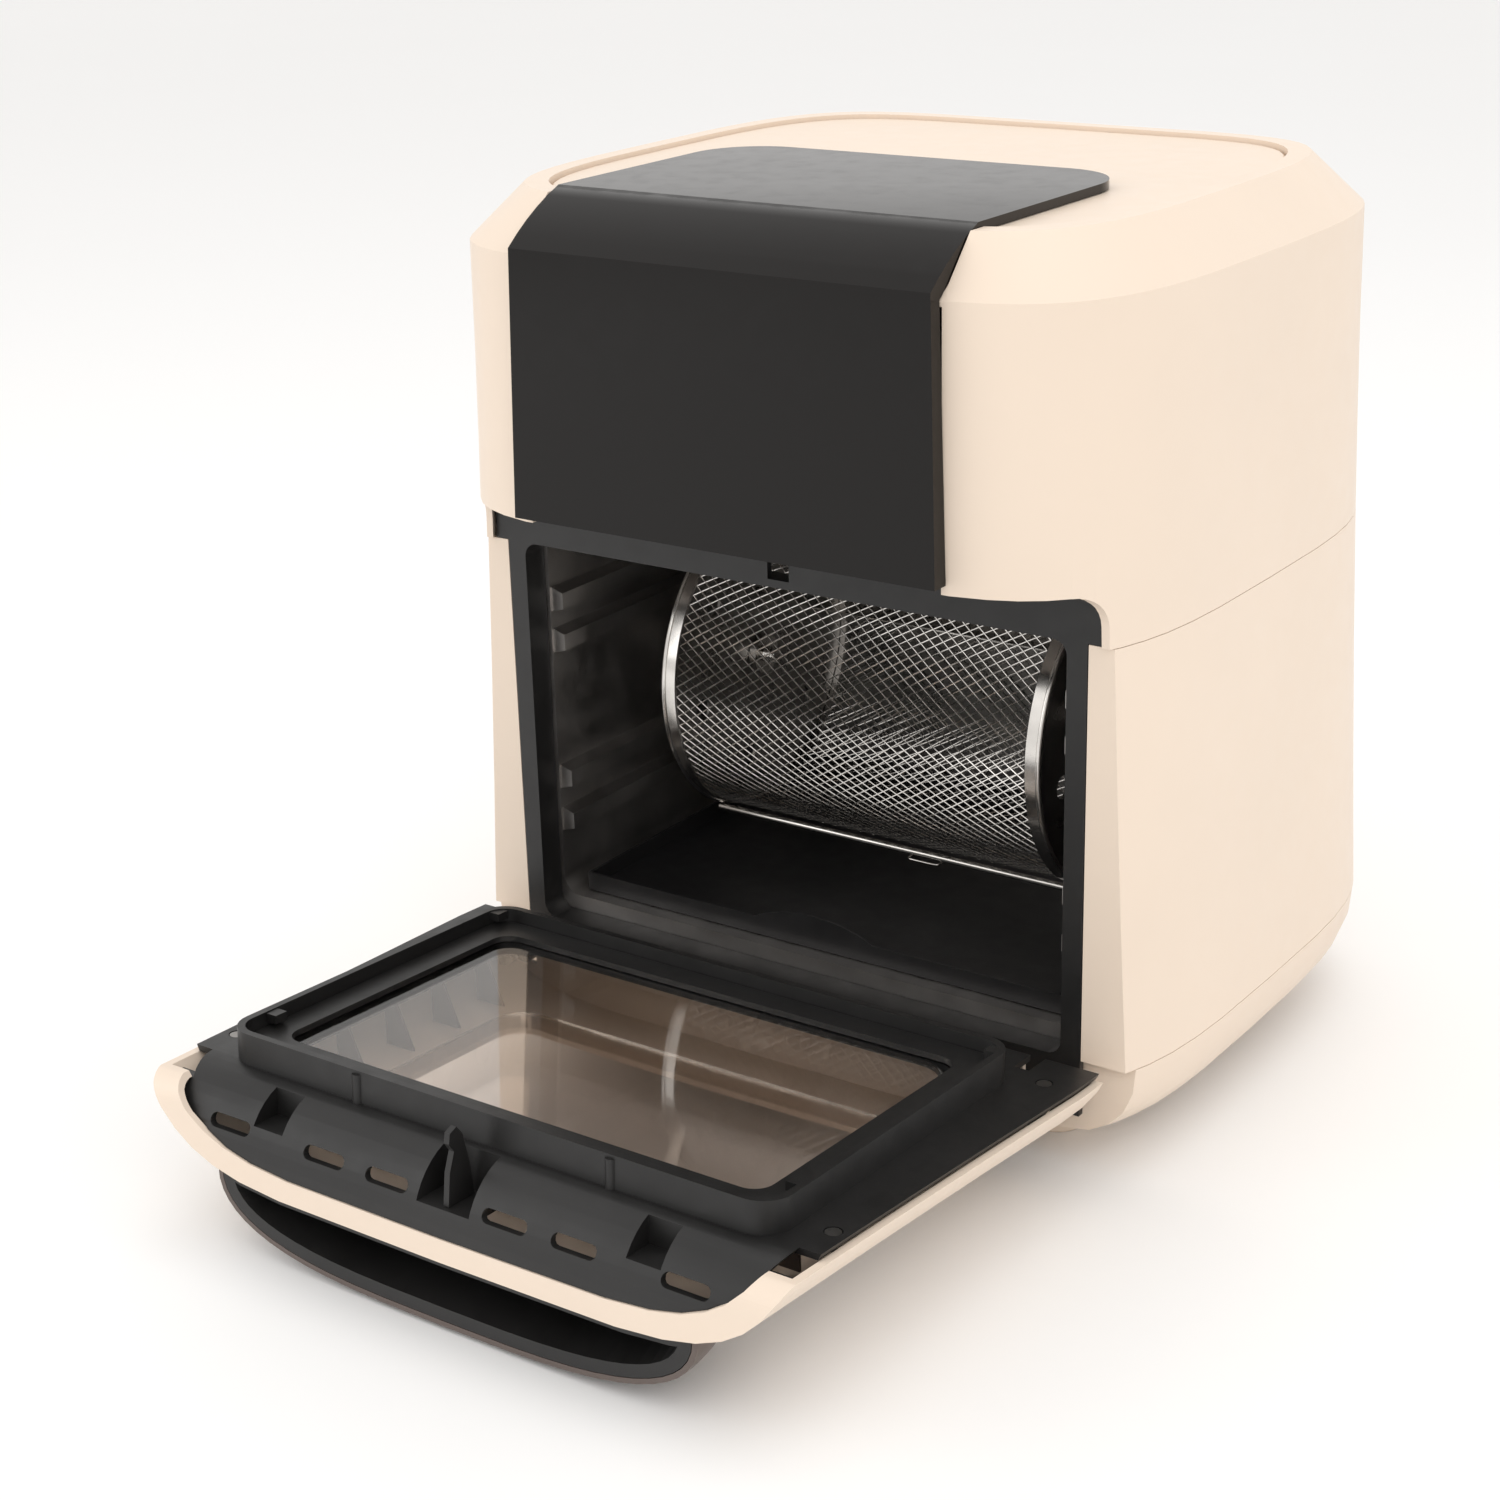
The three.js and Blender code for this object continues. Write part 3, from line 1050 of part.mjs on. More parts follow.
function rodPlace(radius) {
  const y = BASKET_Y + radius * Math.cos(BASKET_ROD_ANGLE);
  const z = BASKET_Z + radius * Math.sin(BASKET_ROD_ANGLE);
  return [y, z];
}

function basketRod() {
  const half = BASKET_HALF_LENGTH + BASKET_ROD_OVERHANG;
  const [y, z] = rodPlace(BASKET_RADIUS + BASKET_ROD_RADIUS + SEAM_GAP);
  return bar("x", BASKET_ROD_RADIUS, -half, half, y, z, 12);
}

function basketLatch() {
  const [y, z] = rodPlace(BASKET_RADIUS + 2 * BASKET_ROD_RADIUS + 1);
  return block(BASKET_LATCH_X, [y - 2, y + 6], [z - 1, z - 0.1]);
}

// ---- Electrics ----

function controlBoard() {
  const panelBack = PANEL_FRONT_Y + PANEL_FRONT_THICKNESS;
  const front = panelBack + CONTROL_BOARD_SPACE;
  const half = PANEL_HALF_TOP - 13.1;
  const height = [PANEL_BOTTOM_Z + 8, PANEL_CREASE_Z - 12];
  let board = block([-half, half], [front, front + BOARD_THICKNESS], height);
  for (const x of [10 - half, half - 10]) {
    for (const z of [height[0] + 10, height[1] - 10]) {
      board = board.add(bar("y", BOARD_POST_RADIUS, panelBack + SEAM_GAP, front + 1, x, z, 12));
    }
  }
  return board;
}

function powerBoard() {
  const { halfWidth, height, topDrop, wallSpace } = POWER_BOARD;
  const front = BODY_HALF_DEPTH - wallSpace;
  const back = BODY_HALF_DEPTH - SHELL_WALL - FIT_GAP;
  const high = REAR_TOP_Z - topDrop;
  const low = high - height;
  let board = block([-halfWidth, halfWidth], [front, front + BOARD_THICKNESS], [low, high]);
  for (const x of [8 - halfWidth, halfWidth - 8]) {
    for (const z of [low + 7, high - 7]) {
      board = board.add(bar("y", BOARD_POST_RADIUS, front + 1, back, x, z, 12));
    }
  }
  const relay = block([-30, -10], [front - 15, front + 0.5], [low + 10, low + 26]);
  const filter = block([10, 32], [front - 18, front + 0.5], [low + 16, low + 38]);
  return join(board, relay, filter);
}

function lampHousing() {
  const wall = CAVITY_HALF_WIDTH + CAVITY_SHEET + SEAM_GAP;
  const { half, depth } = LAMP_BOX;
  const box = block([wall, wall + depth], [LAMP_Y - half, LAMP_Y + half], [LAMP_Z - half, LAMP_Z + half]);
  return box.subtract(bar("x", LAMP_RADIUS + FIT_GAP, wall - 1, wall + depth - 3, LAMP_Y, LAMP_Z, 20));
}

function lampLens() {
  const wall = CAVITY_HALF_WIDTH - SEAM_GAP;
  const flange = bar("x", LAMP_RADIUS + 2, wall - 1.5, wall, LAMP_Y, LAMP_Z, 20);
  return flange.add(bar("x", LAMP_RADIUS, wall - 1, wall + 5, LAMP_Y, LAMP_Z, 20));
}

// ---- Door, shut ----

// The door's form, less "inset" all round. It runs past the door's edges unless it is given its own ends.
function doorRegion(inset, low = DOOR_BOTTOM_Z - DOOR_OVERRUN, high = DOOR_TOP_Z + DOOR_OVERRUN) {
  return loft([low, ...levels(BASE_SEAM_Z, SIDE_SEAM_Z, 3), high].map((z) => doorRing(z, inset)));
}

// The door follows the body's outline without the base's curve.
function doorRing(z, inset) {
  return squareRound(sideWidth(z) - inset, -DOOR_FRONT_Y - inset, z);
}

function doorOuterShell() {
  const outer = doorRegion(0, DOOR_BOTTOM_Z).intersect(belowHood(DOOR_GAP));
  const inner = doorRegion(SHELL_WALL, DOOR_BOTTOM_Z + SHELL_WALL);
  const topOnly = block([-FAR, FAR], [-FAR, FAR], [HOOD_BOTTOM_Z - HOOD_CORNER_RADIUS, FAR]);
  const band = outer.intersect(topOnly).subtract(belowHood(DOOR_GAP + SHELL_WALL));
  const rim = band.subtract(doorRegion(DOOR_RIM_WIDTH));
  const behind = block([-FAR, FAR], [LINER_Y - LINER_THICKNESS - SEAM_GAP, FAR], [-FAR, FAR]);
  const windowZ = [OUTER_WINDOW_BOTTOM_Z, OUTER_WINDOW_TOP_Z];
  const opening = roundedRect(OUTER_WINDOW_HALF_WIDTH, ...windowZ, WINDOW_CORNER);
  const hingeRoom = (side) =>
    block(spanX(side, HINGE_BRACKET_X - 3, HINGE_ARM_X + HINGE_ARM_WIDTH + 1.5), HINGE_ROOM_Y, [0, HINGE_Z]);
  return outer
    .subtract(inner)
    .add(rim)
    .subtract(behind)
    .subtract(prismY(opening, -FAR, LINER_Y - DOOR_OVERRUN, 4))
    .subtract(hingeRoom(1))
    .subtract(hingeRoom(-1));
}

// The liner's face: flat, then a quarter ellipse out to the door's top edge.
function linerProfile(inset, low) {
  const shape = new THREE.Shape();
  const depth = LINER_CURVE_DEPTH - inset;
  const rise = DOOR_TOP_Z - 0.5 - LINER_CURVE_Z - inset;
  const centre = LINER_Y - LINER_CURVE_DEPTH;
  shape.moveTo(-FAR, low);
  shape.lineTo(LINER_Y - inset, low);
  shape.lineTo(LINER_Y - inset, LINER_CURVE_Z);
  shape.absellipse(centre, LINER_CURVE_Z, depth, rise, 0, Math.PI / 2, false, 0);
  shape.lineTo(-FAR, LINER_CURVE_Z + rise);
  return shape;
}

function roundedFrame(halfWidth, low, high, radius, wall, innerRadius, y) {
  const outer = prismY(roundedRect(halfWidth, low, high, radius), y[0], y[1], 4);
  const inner = roundedRect(halfWidth - wall, low + wall, high - wall, innerRadius);
  return outer.subtract(prismY(inner, y[0] - 1, y[1] + 1, 4));
}

function doorLiner() {
  const solid = prismX(linerProfile(0, LINER_BOTTOM_Z), -FAR, FAR, 5);
  const hollow = prismX(linerProfile(LINER_THICKNESS, LINER_BOTTOM_Z - 5), -FAR, FAR, 5);
  const inShell = doorRegion(SHELL_WALL + SEAM_GAP);
  const underRim = belowHood(DOOR_GAP + SHELL_WALL + SEAM_GAP);
  const insideRim = doorRegion(DOOR_RIM_WIDTH + SEAM_GAP);
  const flat = block([-FAR, FAR], [LINER_Y - LINER_THICKNESS, FAR], [-FAR, LINER_CURVE_Z]);
  const ringFront = LINER_Y + RING_HEIGHT;
  const ring = roundedFrame(
    RING_HALF_WIDTH,
    RING_BOTTOM_Z,
    RING_TOP_Z,
    RING_CORNER,
    RING_WALL,
    RING_CORNER - RING_WALL,
    [LINER_Y - 1, ringFront],
  );
  const window = roundedRect(WINDOW_HALF_WIDTH, WINDOW_BOTTOM_Z, WINDOW_TOP_Z, WINDOW_CORNER);
  let liner = solid.subtract(hollow).intersect(inShell).intersect(underRim.add(insideRim).add(flat)).add(ring);
  liner = liner.subtract(prismY(window, -FAR, 0, 4));
  const inside = solid.intersect(inShell);
  const mirrored = { ...CLIP_POCKET, x: spanX(-1, ...CLIP_POCKET.x) };
  for (const pocket of [LATCH_POCKET, CLIP_POCKET, mirrored]) {
    liner = liner.add(pocketBlock(pocket, POCKET_WALL).intersect(inside)).subtract(pocketBlock(pocket, 0));
  }
  for (const side of [-1, 1]) {
    const bossZ = RING_TOP_Z - RING_WALL + BOSS_RADIUS;
    liner = liner.add(bar("y", BOSS_RADIUS, LINER_Y - 1, ringFront - 1.5, side * BOSS_X, bossZ, 16));
    const inner = RING_HALF_WIDTH - RING_WALL;
    const tabX = spanX(side, inner - TAB.reach, inner + 1);
    const tabY = [ringFront - 0.5 - TAB.height, ringFront - 0.5];
    for (const z of TAB_ZS) {
      liner = liner.add(block(tabX, tabY, [z - TAB.halfWidth, z + TAB.halfWidth]));
    }
    for (const [near, far] of VENT_SPANS) {
      liner = liner.subtract(ventSlot(side, near, far));
    }
    for (const z of Object.values(SCREW_ZS)) {
      const hole = bar("y", SCREW_STEM_RADIUS + FIT_GAP, LINER_Y - 10, LINER_Y + 10, side * SCREW_X, z, 12);
      const sunk = LINER_Y - SCREW_SINK;
      const seat = bar("y", SCREW_HEAD_RADIUS + FIT_GAP, sunk, LINER_Y + 10, side * SCREW_X, z, 16);
      liner = liner.subtract(hole).subtract(seat);
    }
  }
  return liner.subtract(hingeSlots(1.5, [LINER_Y - 5, LINER_Y + 5], 20, 8));
}

// A round-ended slot through the liner's curved top.
function ventSlot(side, near, far) {
  const radius = VENT_WIDTH / 2;
  const [low, high] = spanX(side, near + radius, far - radius);
  return join(
    block([low, high], [VENT_Y - radius, VENT_Y + radius], [LINER_CURVE_Z + 12, DOOR_TOP_Z + 20]),
    bar("z", radius, LINER_CURVE_Z + 12, DOOR_TOP_Z + 20, low, VENT_Y, 12),
    bar("z", radius, LINER_CURVE_Z + 12, DOOR_TOP_Z + 20, high, VENT_Y, 12),
  );
}

// A pocket in the liner's curved top: its room when "wall" is 0, and its walls' outside otherwise.
function pocketBlock({ x, depth, z }, wall) {
  const across = [x[0] - wall, x[1] + wall];
  const height = [LINER_CURVE_Z + z[0] - wall, LINER_CURVE_Z + z[1] + wall];
  return block(across, [LINER_Y - depth - wall, 0], height);
}

function innerGlass() {
  const grow = GLASS_MARGIN;
  const height = [WINDOW_BOTTOM_Z - grow, WINDOW_TOP_Z + grow];
  const shape = roundedRect(WINDOW_HALF_WIDTH + grow, ...height, WINDOW_CORNER);
  const back = LINER_Y + SEAM_GAP;
  return prismY(shape, back, back + GLASS_THICKNESS, 4);
}

function glassRetainer() {
  const low = LINER_Y + 2 * SEAM_GAP + GLASS_THICKNESS;
  const inside = RING_WALL + FIT_GAP;
  return roundedFrame(
    RING_HALF_WIDTH - inside,
    RING_BOTTOM_Z + inside,
    RING_TOP_Z - inside,
    RING_CORNER - RING_WALL,
    RETAINER_WIDTH,
    RETAINER_CORNER,
    [low, low + RETAINER_THICKNESS],
  );
}

function outerGlass() {
  const grow = OUTER_GLASS_MARGIN;
  const shape = roundedRect(
    OUTER_WINDOW_HALF_WIDTH + grow,
    OUTER_WINDOW_BOTTOM_Z - grow,
    OUTER_WINDOW_TOP_Z + grow,
    WINDOW_CORNER,
  );
  return prismY(shape, OUTER_GLASS_Y, OUTER_GLASS_Y + OUTER_GLASS_THICKNESS, 4);
}

// A hook that stands on the pocket's back wall and reaches out in front of the liner, seen from the side.
function latchHook() {
  const root = LATCH_BACK_Y + SEAM_GAP;
  const z = LINER_CURVE_Z;
  const shape = polygon([
    [root, z + 7],
    [LINER_Y - 3.4, z + 9.5],
    [LINER_Y + 8.6, z + 13],
    [LINER_Y + 12.1, z + 16],
    [LINER_Y + 10.6, z + 19.5],
    [LINER_Y + 6.6, z + 20],
    [LINER_Y + 3.1, z + 17.5],
    [LINER_Y - 4.4, z + 20],
    [root, z + 21],
  ]);
  return prismX(shape, -HOOK_THICKNESS / 2, HOOK_THICKNESS / 2);
}

function hingeArm(side) {
  const x = spanX(side, HINGE_ARM_X, HINGE_ARM_X + HINGE_ARM_WIDTH);
  const back = LINER_Y - LINER_THICKNESS - SEAM_GAP;
  const arm = block(x, [HINGE_Y - HINGE_EYE_RADIUS, back], [HINGE_Z, HINGE_Z + HINGE_ARM_HEIGHT]);
  const eye = bar("x", HINGE_EYE_RADIUS, x[0], x[1], HINGE_Y, HINGE_Z, 20);
  const hole = bar("x", HINGE_PIN_RADIUS + HINGE_GRIP, x[0] - 1, x[1] + 1, HINGE_Y, HINGE_Z, 16);
  return join(arm, eye).subtract(hole);
}

function hingeBracket(side) {
  const x = spanX(side, HINGE_BRACKET_X, HINGE_BRACKET_X + HINGE_BRACKET_WIDTH);
  const frameBack = FRAME_FRONT_Y + FRAME_THICKNESS + SEAM_GAP;
  const z = [HINGE_Z - HINGE_EYE_RADIUS, HINGE_Z + HINGE_EYE_RADIUS];
  const arm = block(x, [HINGE_Y, frameBack + BRACKET_FLANGE], z);
  const eye = bar("x", HINGE_EYE_RADIUS, x[0], x[1], HINGE_Y, HINGE_Z, 20);
  const wide = spanX(side, HINGE_BRACKET_X - 6, HINGE_BRACKET_X + HINGE_BRACKET_WIDTH + 2);
  const flange = block(wide, [frameBack, frameBack + BRACKET_FLANGE], [z[0] - 4, z[1] + 4]);
  const hole = bar("x", HINGE_PIN_RADIUS + HINGE_CLEARANCE, x[0] - 1, x[1] + 1, HINGE_Y, HINGE_Z, 16);
  return join(arm, eye, flange).subtract(hole);
}

function hingePin(side) {
  const x = spanX(side, HINGE_BRACKET_X - 2, HINGE_ARM_X + HINGE_ARM_WIDTH + 1);
  return bar("x", HINGE_PIN_RADIUS, x[0], x[1], HINGE_Y, HINGE_Z, 16);
}

function doorScrew(side, z) {
  const seat = LINER_Y - SCREW_SINK + SEAM_GAP;
  const cap = bar("y", SCREW_HEAD_RADIUS, seat, LINER_Y - 0.2, side * SCREW_X, z, 16);
  return cap.add(bar("y", SCREW_STEM_RADIUS, seat - SCREW_STEM_LENGTH, seat + 0.5, side * SCREW_X, z, 10));
}

// One level of the handle's scoop, which is centred a little inside the door's face.
function handleRing(z, halfWidth, reach) {
  return squareRound(halfWidth, reach, z, 3.2, 2.4, DOOR_FRONT_Y + HANDLE_ROOT);
}

// The scoop's form: full reach at the top, dying into the door's face at the bottom.
function handleForm(inset, top) {
  const steps = 7;
  const rings = [];
  for (let i = 0; i <= steps; i += 1) {
    const down = 1 - i / steps;
    const reach = (HANDLE_REACH + HANDLE_ROOT) * Math.sqrt(1 - down * down) - inset;
    const halfWidth = HANDLE_HALF_WIDTH - HANDLE_TAPER * down * down - inset;
    rings.push(handleRing(HANDLE_TOP_Z - down * (HANDLE_HEIGHT - inset), halfWidth, Math.max(reach, 0.6)));
  }
  rings.push(handleRing(top, HANDLE_HALF_WIDTH - inset, HANDLE_REACH + HANDLE_ROOT - inset));
  return loft(rings);
}

function behindDoorFace(gap) {
  const behind = block([-FAR, FAR], [DOOR_FRONT_Y + HANDLE_ROOT, FAR], [-FAR, FAR]);
  return doorRegion(-gap).add(behind);
}

function handleCover() {
  const outer = handleForm(0, HANDLE_TOP_Z + 0.2);
  return outer.subtract(handleForm(HANDLE_COVER, HANDLE_TOP_Z + 5)).subtract(behindDoorFace(FIT_GAP));
}

function handleBody() {
  const gap = HANDLE_COVER + SEAM_GAP;
  const rim = gap + HANDLE_RIM;
  const level = (z, taper) =>
    handleRing(z, HANDLE_HALF_WIDTH - rim - taper, HANDLE_REACH + HANDLE_ROOT - rim - taper / 2);
  const floor = level(HANDLE_TOP_Z - HANDLE_POCKET_DEPTH, HANDLE_POCKET_TAPER);
  const pocket = loft([floor, level(HANDLE_TOP_Z + 1, 0)]);
  return handleForm(gap, HANDLE_TOP_Z + 0.2)
    .subtract(pocket.subtract(behindDoorFace(FIT_GAP + HANDLE_BACK)))
    .subtract(behindDoorFace(FIT_GAP));
}

// ---- Assembly ----

const CREAM = { color: 0xead7c1, roughness: 0.45, metalness: 0 };
const BLACK = { color: 0x1d1b1b, roughness: 0.55, metalness: 0 };
const GLOSS_BLACK = { color: 0x0d0d0e, roughness: 0.15, metalness: 0 };
const BROWN = { color: 0x6a5c55, roughness: 0.5, metalness: 0 };
const RUBBER = { color: 0x2a2827, roughness: 0.9, metalness: 0 };
const STEEL = { color: 0xc4c0bb, roughness: 0.25, metalness: 1 };
const SHEET_STEEL = { color: 0x8d8a87, roughness: 0.4, metalness: 1 };
const ENAMEL = { color: 0x2b2b2c, roughness: 0.5, metalness: 0.6 };
const CLEAR = { color: 0xdfe6e4, roughness: 0.05, metalness: 0, transparent: true, opacity: 0.35 };
const BOARD = { color: 0x24503a, roughness: 0.6, metalness: 0 };
const MOTOR = { color: 0x9a9a98, roughness: 0.4, metalness: 0.9 };

function addPiece(group, name, solid, finish) {
  const mesh = new THREE.Mesh(geometryOf(solid), new THREE.MeshStandardMaterial(finish));
  mesh.name = name;
  group.add(mesh);
}

const oven = new THREE.Group();

const body = new THREE.Group();
oven.add(body);
addPiece(body, "base_pan", basePan(), CREAM);
addPiece(body, "foot_front_left", foot(-FOOT_X, FOOT_FRONT_Y), CREAM);
addPiece(body, "foot_front_right", foot(FOOT_X, FOOT_FRONT_Y), CREAM);
addPiece(body, "foot_rear_left", foot(-FOOT_X, FOOT_REAR_Y), CREAM);
addPiece(body, "foot_rear_right", foot(FOOT_X, FOOT_REAR_Y), CREAM);
addPiece(body, "lower_shell", lowerShell(), CREAM);
addPiece(body, "upper_shell", upperShell(), CREAM);
addPiece(body, "top_lid", topLid(), CREAM);
addPiece(body, "control_panel", controlPanel(), GLOSS_BLACK);
addPiece(body, "control_board", controlBoard(), BOARD);
addPiece(body, "power_board", powerBoard(), BOARD);
addPiece(body, "rear_cover", rearCover(), CREAM);
addPiece(body, "cord_gland", cordGland(), RUBBER);
addPiece(body, "front_frame", frontFrame(), BLACK);
addPiece(body, "cavity_liner", cavityLiner(), SHEET_STEEL);
addPiece(body, "drip_tray", dripTray(), ENAMEL);
addPiece(body, "element_guard", elementGuard(), STEEL);
addPiece(body, "heating_element", heatingElement(), ENAMEL);
addPiece(body, "heater_dome", heaterDome(), SHEET_STEEL);
addPiece(body, "fan_motor", fanMotor(), MOTOR);
addPiece(body, "motor_bracket", motorBracket(), SHEET_STEEL);
addPiece(body, "rotisserie_motor", driveMotor(), MOTOR);
addPiece(body, "bearing_bracket", bearingBracket(), STEEL);
addPiece(body, "lamp_housing", lampHousing(), SHEET_STEEL);
addPiece(body, "lamp_lens", lampLens(), CLEAR);
addPiece(body, "hinge_bracket_left", hingeBracket(-1), STEEL);
addPiece(body, "hinge_bracket_right", hingeBracket(1), STEEL);

const fan = new THREE.Group();
oven.add(fan);
addPiece(fan, "fan_shaft", fanShaft(), STEEL);
addPiece(fan, "fan_blade", fanWheel(FAN_Z, FAN), STEEL);
addPiece(fan, "cooling_fan", fanWheel(coolingFanZ(), COOLING_FAN), SHEET_STEEL);

const spit = new THREE.Group();
oven.add(spit);
addPiece(spit, "drive_socket", driveSocket(), STEEL);
addPiece(spit, "basket_mesh", basketMesh(), STEEL);
addPiece(spit, "basket_ring_left", basketRing(-1), STEEL);
addPiece(spit, "basket_ring_right", basketRing(1), STEEL);
addPiece(spit, "basket_end_left", basketEnd(-1), STEEL);
addPiece(spit, "basket_end_right", basketEnd(1), STEEL);
addPiece(spit, "basket_pin_left", basketPin(-1), STEEL);
addPiece(spit, "basket_pin_right", basketPin(1), STEEL);
addPiece(spit, "basket_vane", basketVane(), STEEL);
addPiece(spit, "basket_rod", basketRod(), STEEL);
addPiece(spit, "basket_latch", basketLatch(), STEEL);

// The door's pieces are placed shut, inside a group that swings them open about the hinge.
const doorSwing = new THREE.Group();
doorSwing.position.set(0, HINGE_Y, HINGE_Z);
doorSwing.rotation.x = THREE.MathUtils.degToRad(DOOR_OPEN_DEG);
oven.add(doorSwing);
const door = new THREE.Group();
door.position.set(0, -HINGE_Y, -HINGE_Z);
doorSwing.add(door);
addPiece(door, "door_outer_shell", doorOuterShell(), CREAM);
addPiece(door, "door_liner", doorLiner(), BLACK);
addPiece(door, "inner_glass", innerGlass(), CLEAR);
addPiece(door, "outer_glass", outerGlass(), CLEAR);
addPiece(door, "glass_retainer", glassRetainer(), BLACK);
addPiece(door, "latch_hook", latchHook(), BLACK);
addPiece(door, "handle_body", handleBody(), BLACK);
addPiece(door, "handle_cover", handleCover(), BROWN);
for (const [side, hand] of [[-1, "left"], [1, "right"]]) {
  addPiece(door, `hinge_arm_${hand}`, hingeArm(side), STEEL);
  addPiece(door, `hinge_pin_${hand}`, hingePin(side), STEEL);
  addPiece(body, `rear_screw_${hand}`, rearScrew(side), STEEL);
  for (const [level, z] of Object.entries(SCREW_ZS)) {
    addPiece(door, `door_screw_${level}_${hand}`, doorScrew(side, z), STEEL);
  }
}

// The whole object is centred over the origin.
oven.updateMatrixWorld(true);
const bounds = new THREE.Box3().setFromObject(oven);
oven.position.set(0, -(bounds.min.y + bounds.max.y) / 2, 0);

export default oven;
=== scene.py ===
"""A benchtop rotisserie oven with its door open, dressed for a studio picture.

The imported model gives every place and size. Sub-assemblies are classes whose fields are their sizes in
metres, and finishes are frozen dataclasses that build their own node materials.
"""

from __future__ import annotations

import logging
import math
from dataclasses import dataclass, field
from enum import Enum
from typing import Any, Sequence

import bpy
import numpy as np
from mathutils import Matrix, Vector


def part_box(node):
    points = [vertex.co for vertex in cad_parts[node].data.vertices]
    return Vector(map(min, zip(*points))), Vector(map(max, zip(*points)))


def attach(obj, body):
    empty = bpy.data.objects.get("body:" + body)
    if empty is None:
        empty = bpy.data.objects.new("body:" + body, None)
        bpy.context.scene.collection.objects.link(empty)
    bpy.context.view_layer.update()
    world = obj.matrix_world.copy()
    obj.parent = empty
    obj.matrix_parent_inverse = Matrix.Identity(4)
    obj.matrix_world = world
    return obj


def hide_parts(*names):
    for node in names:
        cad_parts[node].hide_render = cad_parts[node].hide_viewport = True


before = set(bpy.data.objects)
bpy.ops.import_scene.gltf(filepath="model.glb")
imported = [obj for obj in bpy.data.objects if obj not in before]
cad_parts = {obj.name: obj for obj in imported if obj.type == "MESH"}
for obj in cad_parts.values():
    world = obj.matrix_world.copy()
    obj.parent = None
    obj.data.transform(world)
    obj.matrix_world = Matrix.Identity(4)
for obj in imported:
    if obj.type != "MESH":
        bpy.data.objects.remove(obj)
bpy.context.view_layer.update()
LOG = logging.getLogger("oven")
Rgb = tuple[float, float, float]


class Axis(Enum):
    """A row axis that a turned piece is round."""

    X = 0
    Y = 1
    Z = 2


# ---- Surfaces ----


def new_piece(
    name: str,
    verts: np.ndarray,
    faces: np.ndarray,
    smooth_degrees: float = 35.0,
) -> bpy.types.Object:
    """Makes a mesh object at the origin and links it to the scene.

    Args:
        name: The piece's name.
        verts: Points in metres, one row each.
        faces: Corner numbers, one face a row.
        smooth_degrees: Edges that bend more than this stay sharp.

    Returns:
        The new object.
    """
    mesh = bpy.data.meshes.new(name)
    mesh.from_pydata(verts.reshape(-1, 3).tolist(), [], faces.tolist())
    mesh.polygons.foreach_set("use_smooth", np.ones(len(mesh.polygons), bool))
    mesh.set_sharp_from_angle(angle=math.radians(smooth_degrees))
    mesh.update()
    piece = bpy.data.objects.new(name, mesh)
    bpy.context.scene.collection.objects.link(piece)
    return piece


def grid_faces(rows: int, columns: int, close_rows: bool, close_columns: bool) -> np.ndarray:
    """Numbers the quads of a grid of points: each joins a point to the next along and the next row's pair.

    Args:
        rows: Rows of points.
        columns: Points in a row.
        close_rows: Whether the last row joins the first.
        close_columns: Whether each row's last point joins its first.

    Returns:
        Quads, one a row of four numbers.
    """
    r = np.arange(rows if close_rows else rows - 1)[:, None]
    c = np.arange(columns if close_columns else columns - 1)[None, :]
    r2, c2 = (r + 1) % rows, (c + 1) % columns
    corners = [r * columns + c, r * columns + c2, r2 * columns + c2, r2 * columns + c]
    return np.stack(np.broadcast_arrays(*corners), -1).reshape(-1, 4)


def turned_ring(
    profile: np.ndarray,
    axis: Axis,
    centre: Vector,
    steps: int = 128,
) -> tuple[np.ndarray, np.ndarray]:
    """A closed profile of (along, out) points carried once round an axis: each point keeps its distance
    along the axis, and the angle's cosine and sine share out its distance from it.

    Args:
        profile: Points of the closed outline, anticlockwise with "along" to the right.
        axis: The axis it turns about.
        centre: A point on the axis.
        steps: Stations round the turn.

    Returns:
        The points and the quads.
    """
    angle = np.linspace(0, 2 * np.pi, steps, endpoint=False)[:, None]
    along = np.broadcast_to(profile[None, :, 0], (steps, len(profile)))
    out = profile[None, :, 1]
    parts = [along, out * np.cos(angle), out * np.sin(angle)]
    order = {Axis.X: (0, 1, 2), Axis.Y: (2, 0, 1), Axis.Z: (1, 2, 0)}[axis]
    verts = np.stack([parts[i] for i in order], -1) + np.array(centre)
    return verts, grid_faces(steps, len(profile), True, True)[:, ::-1]


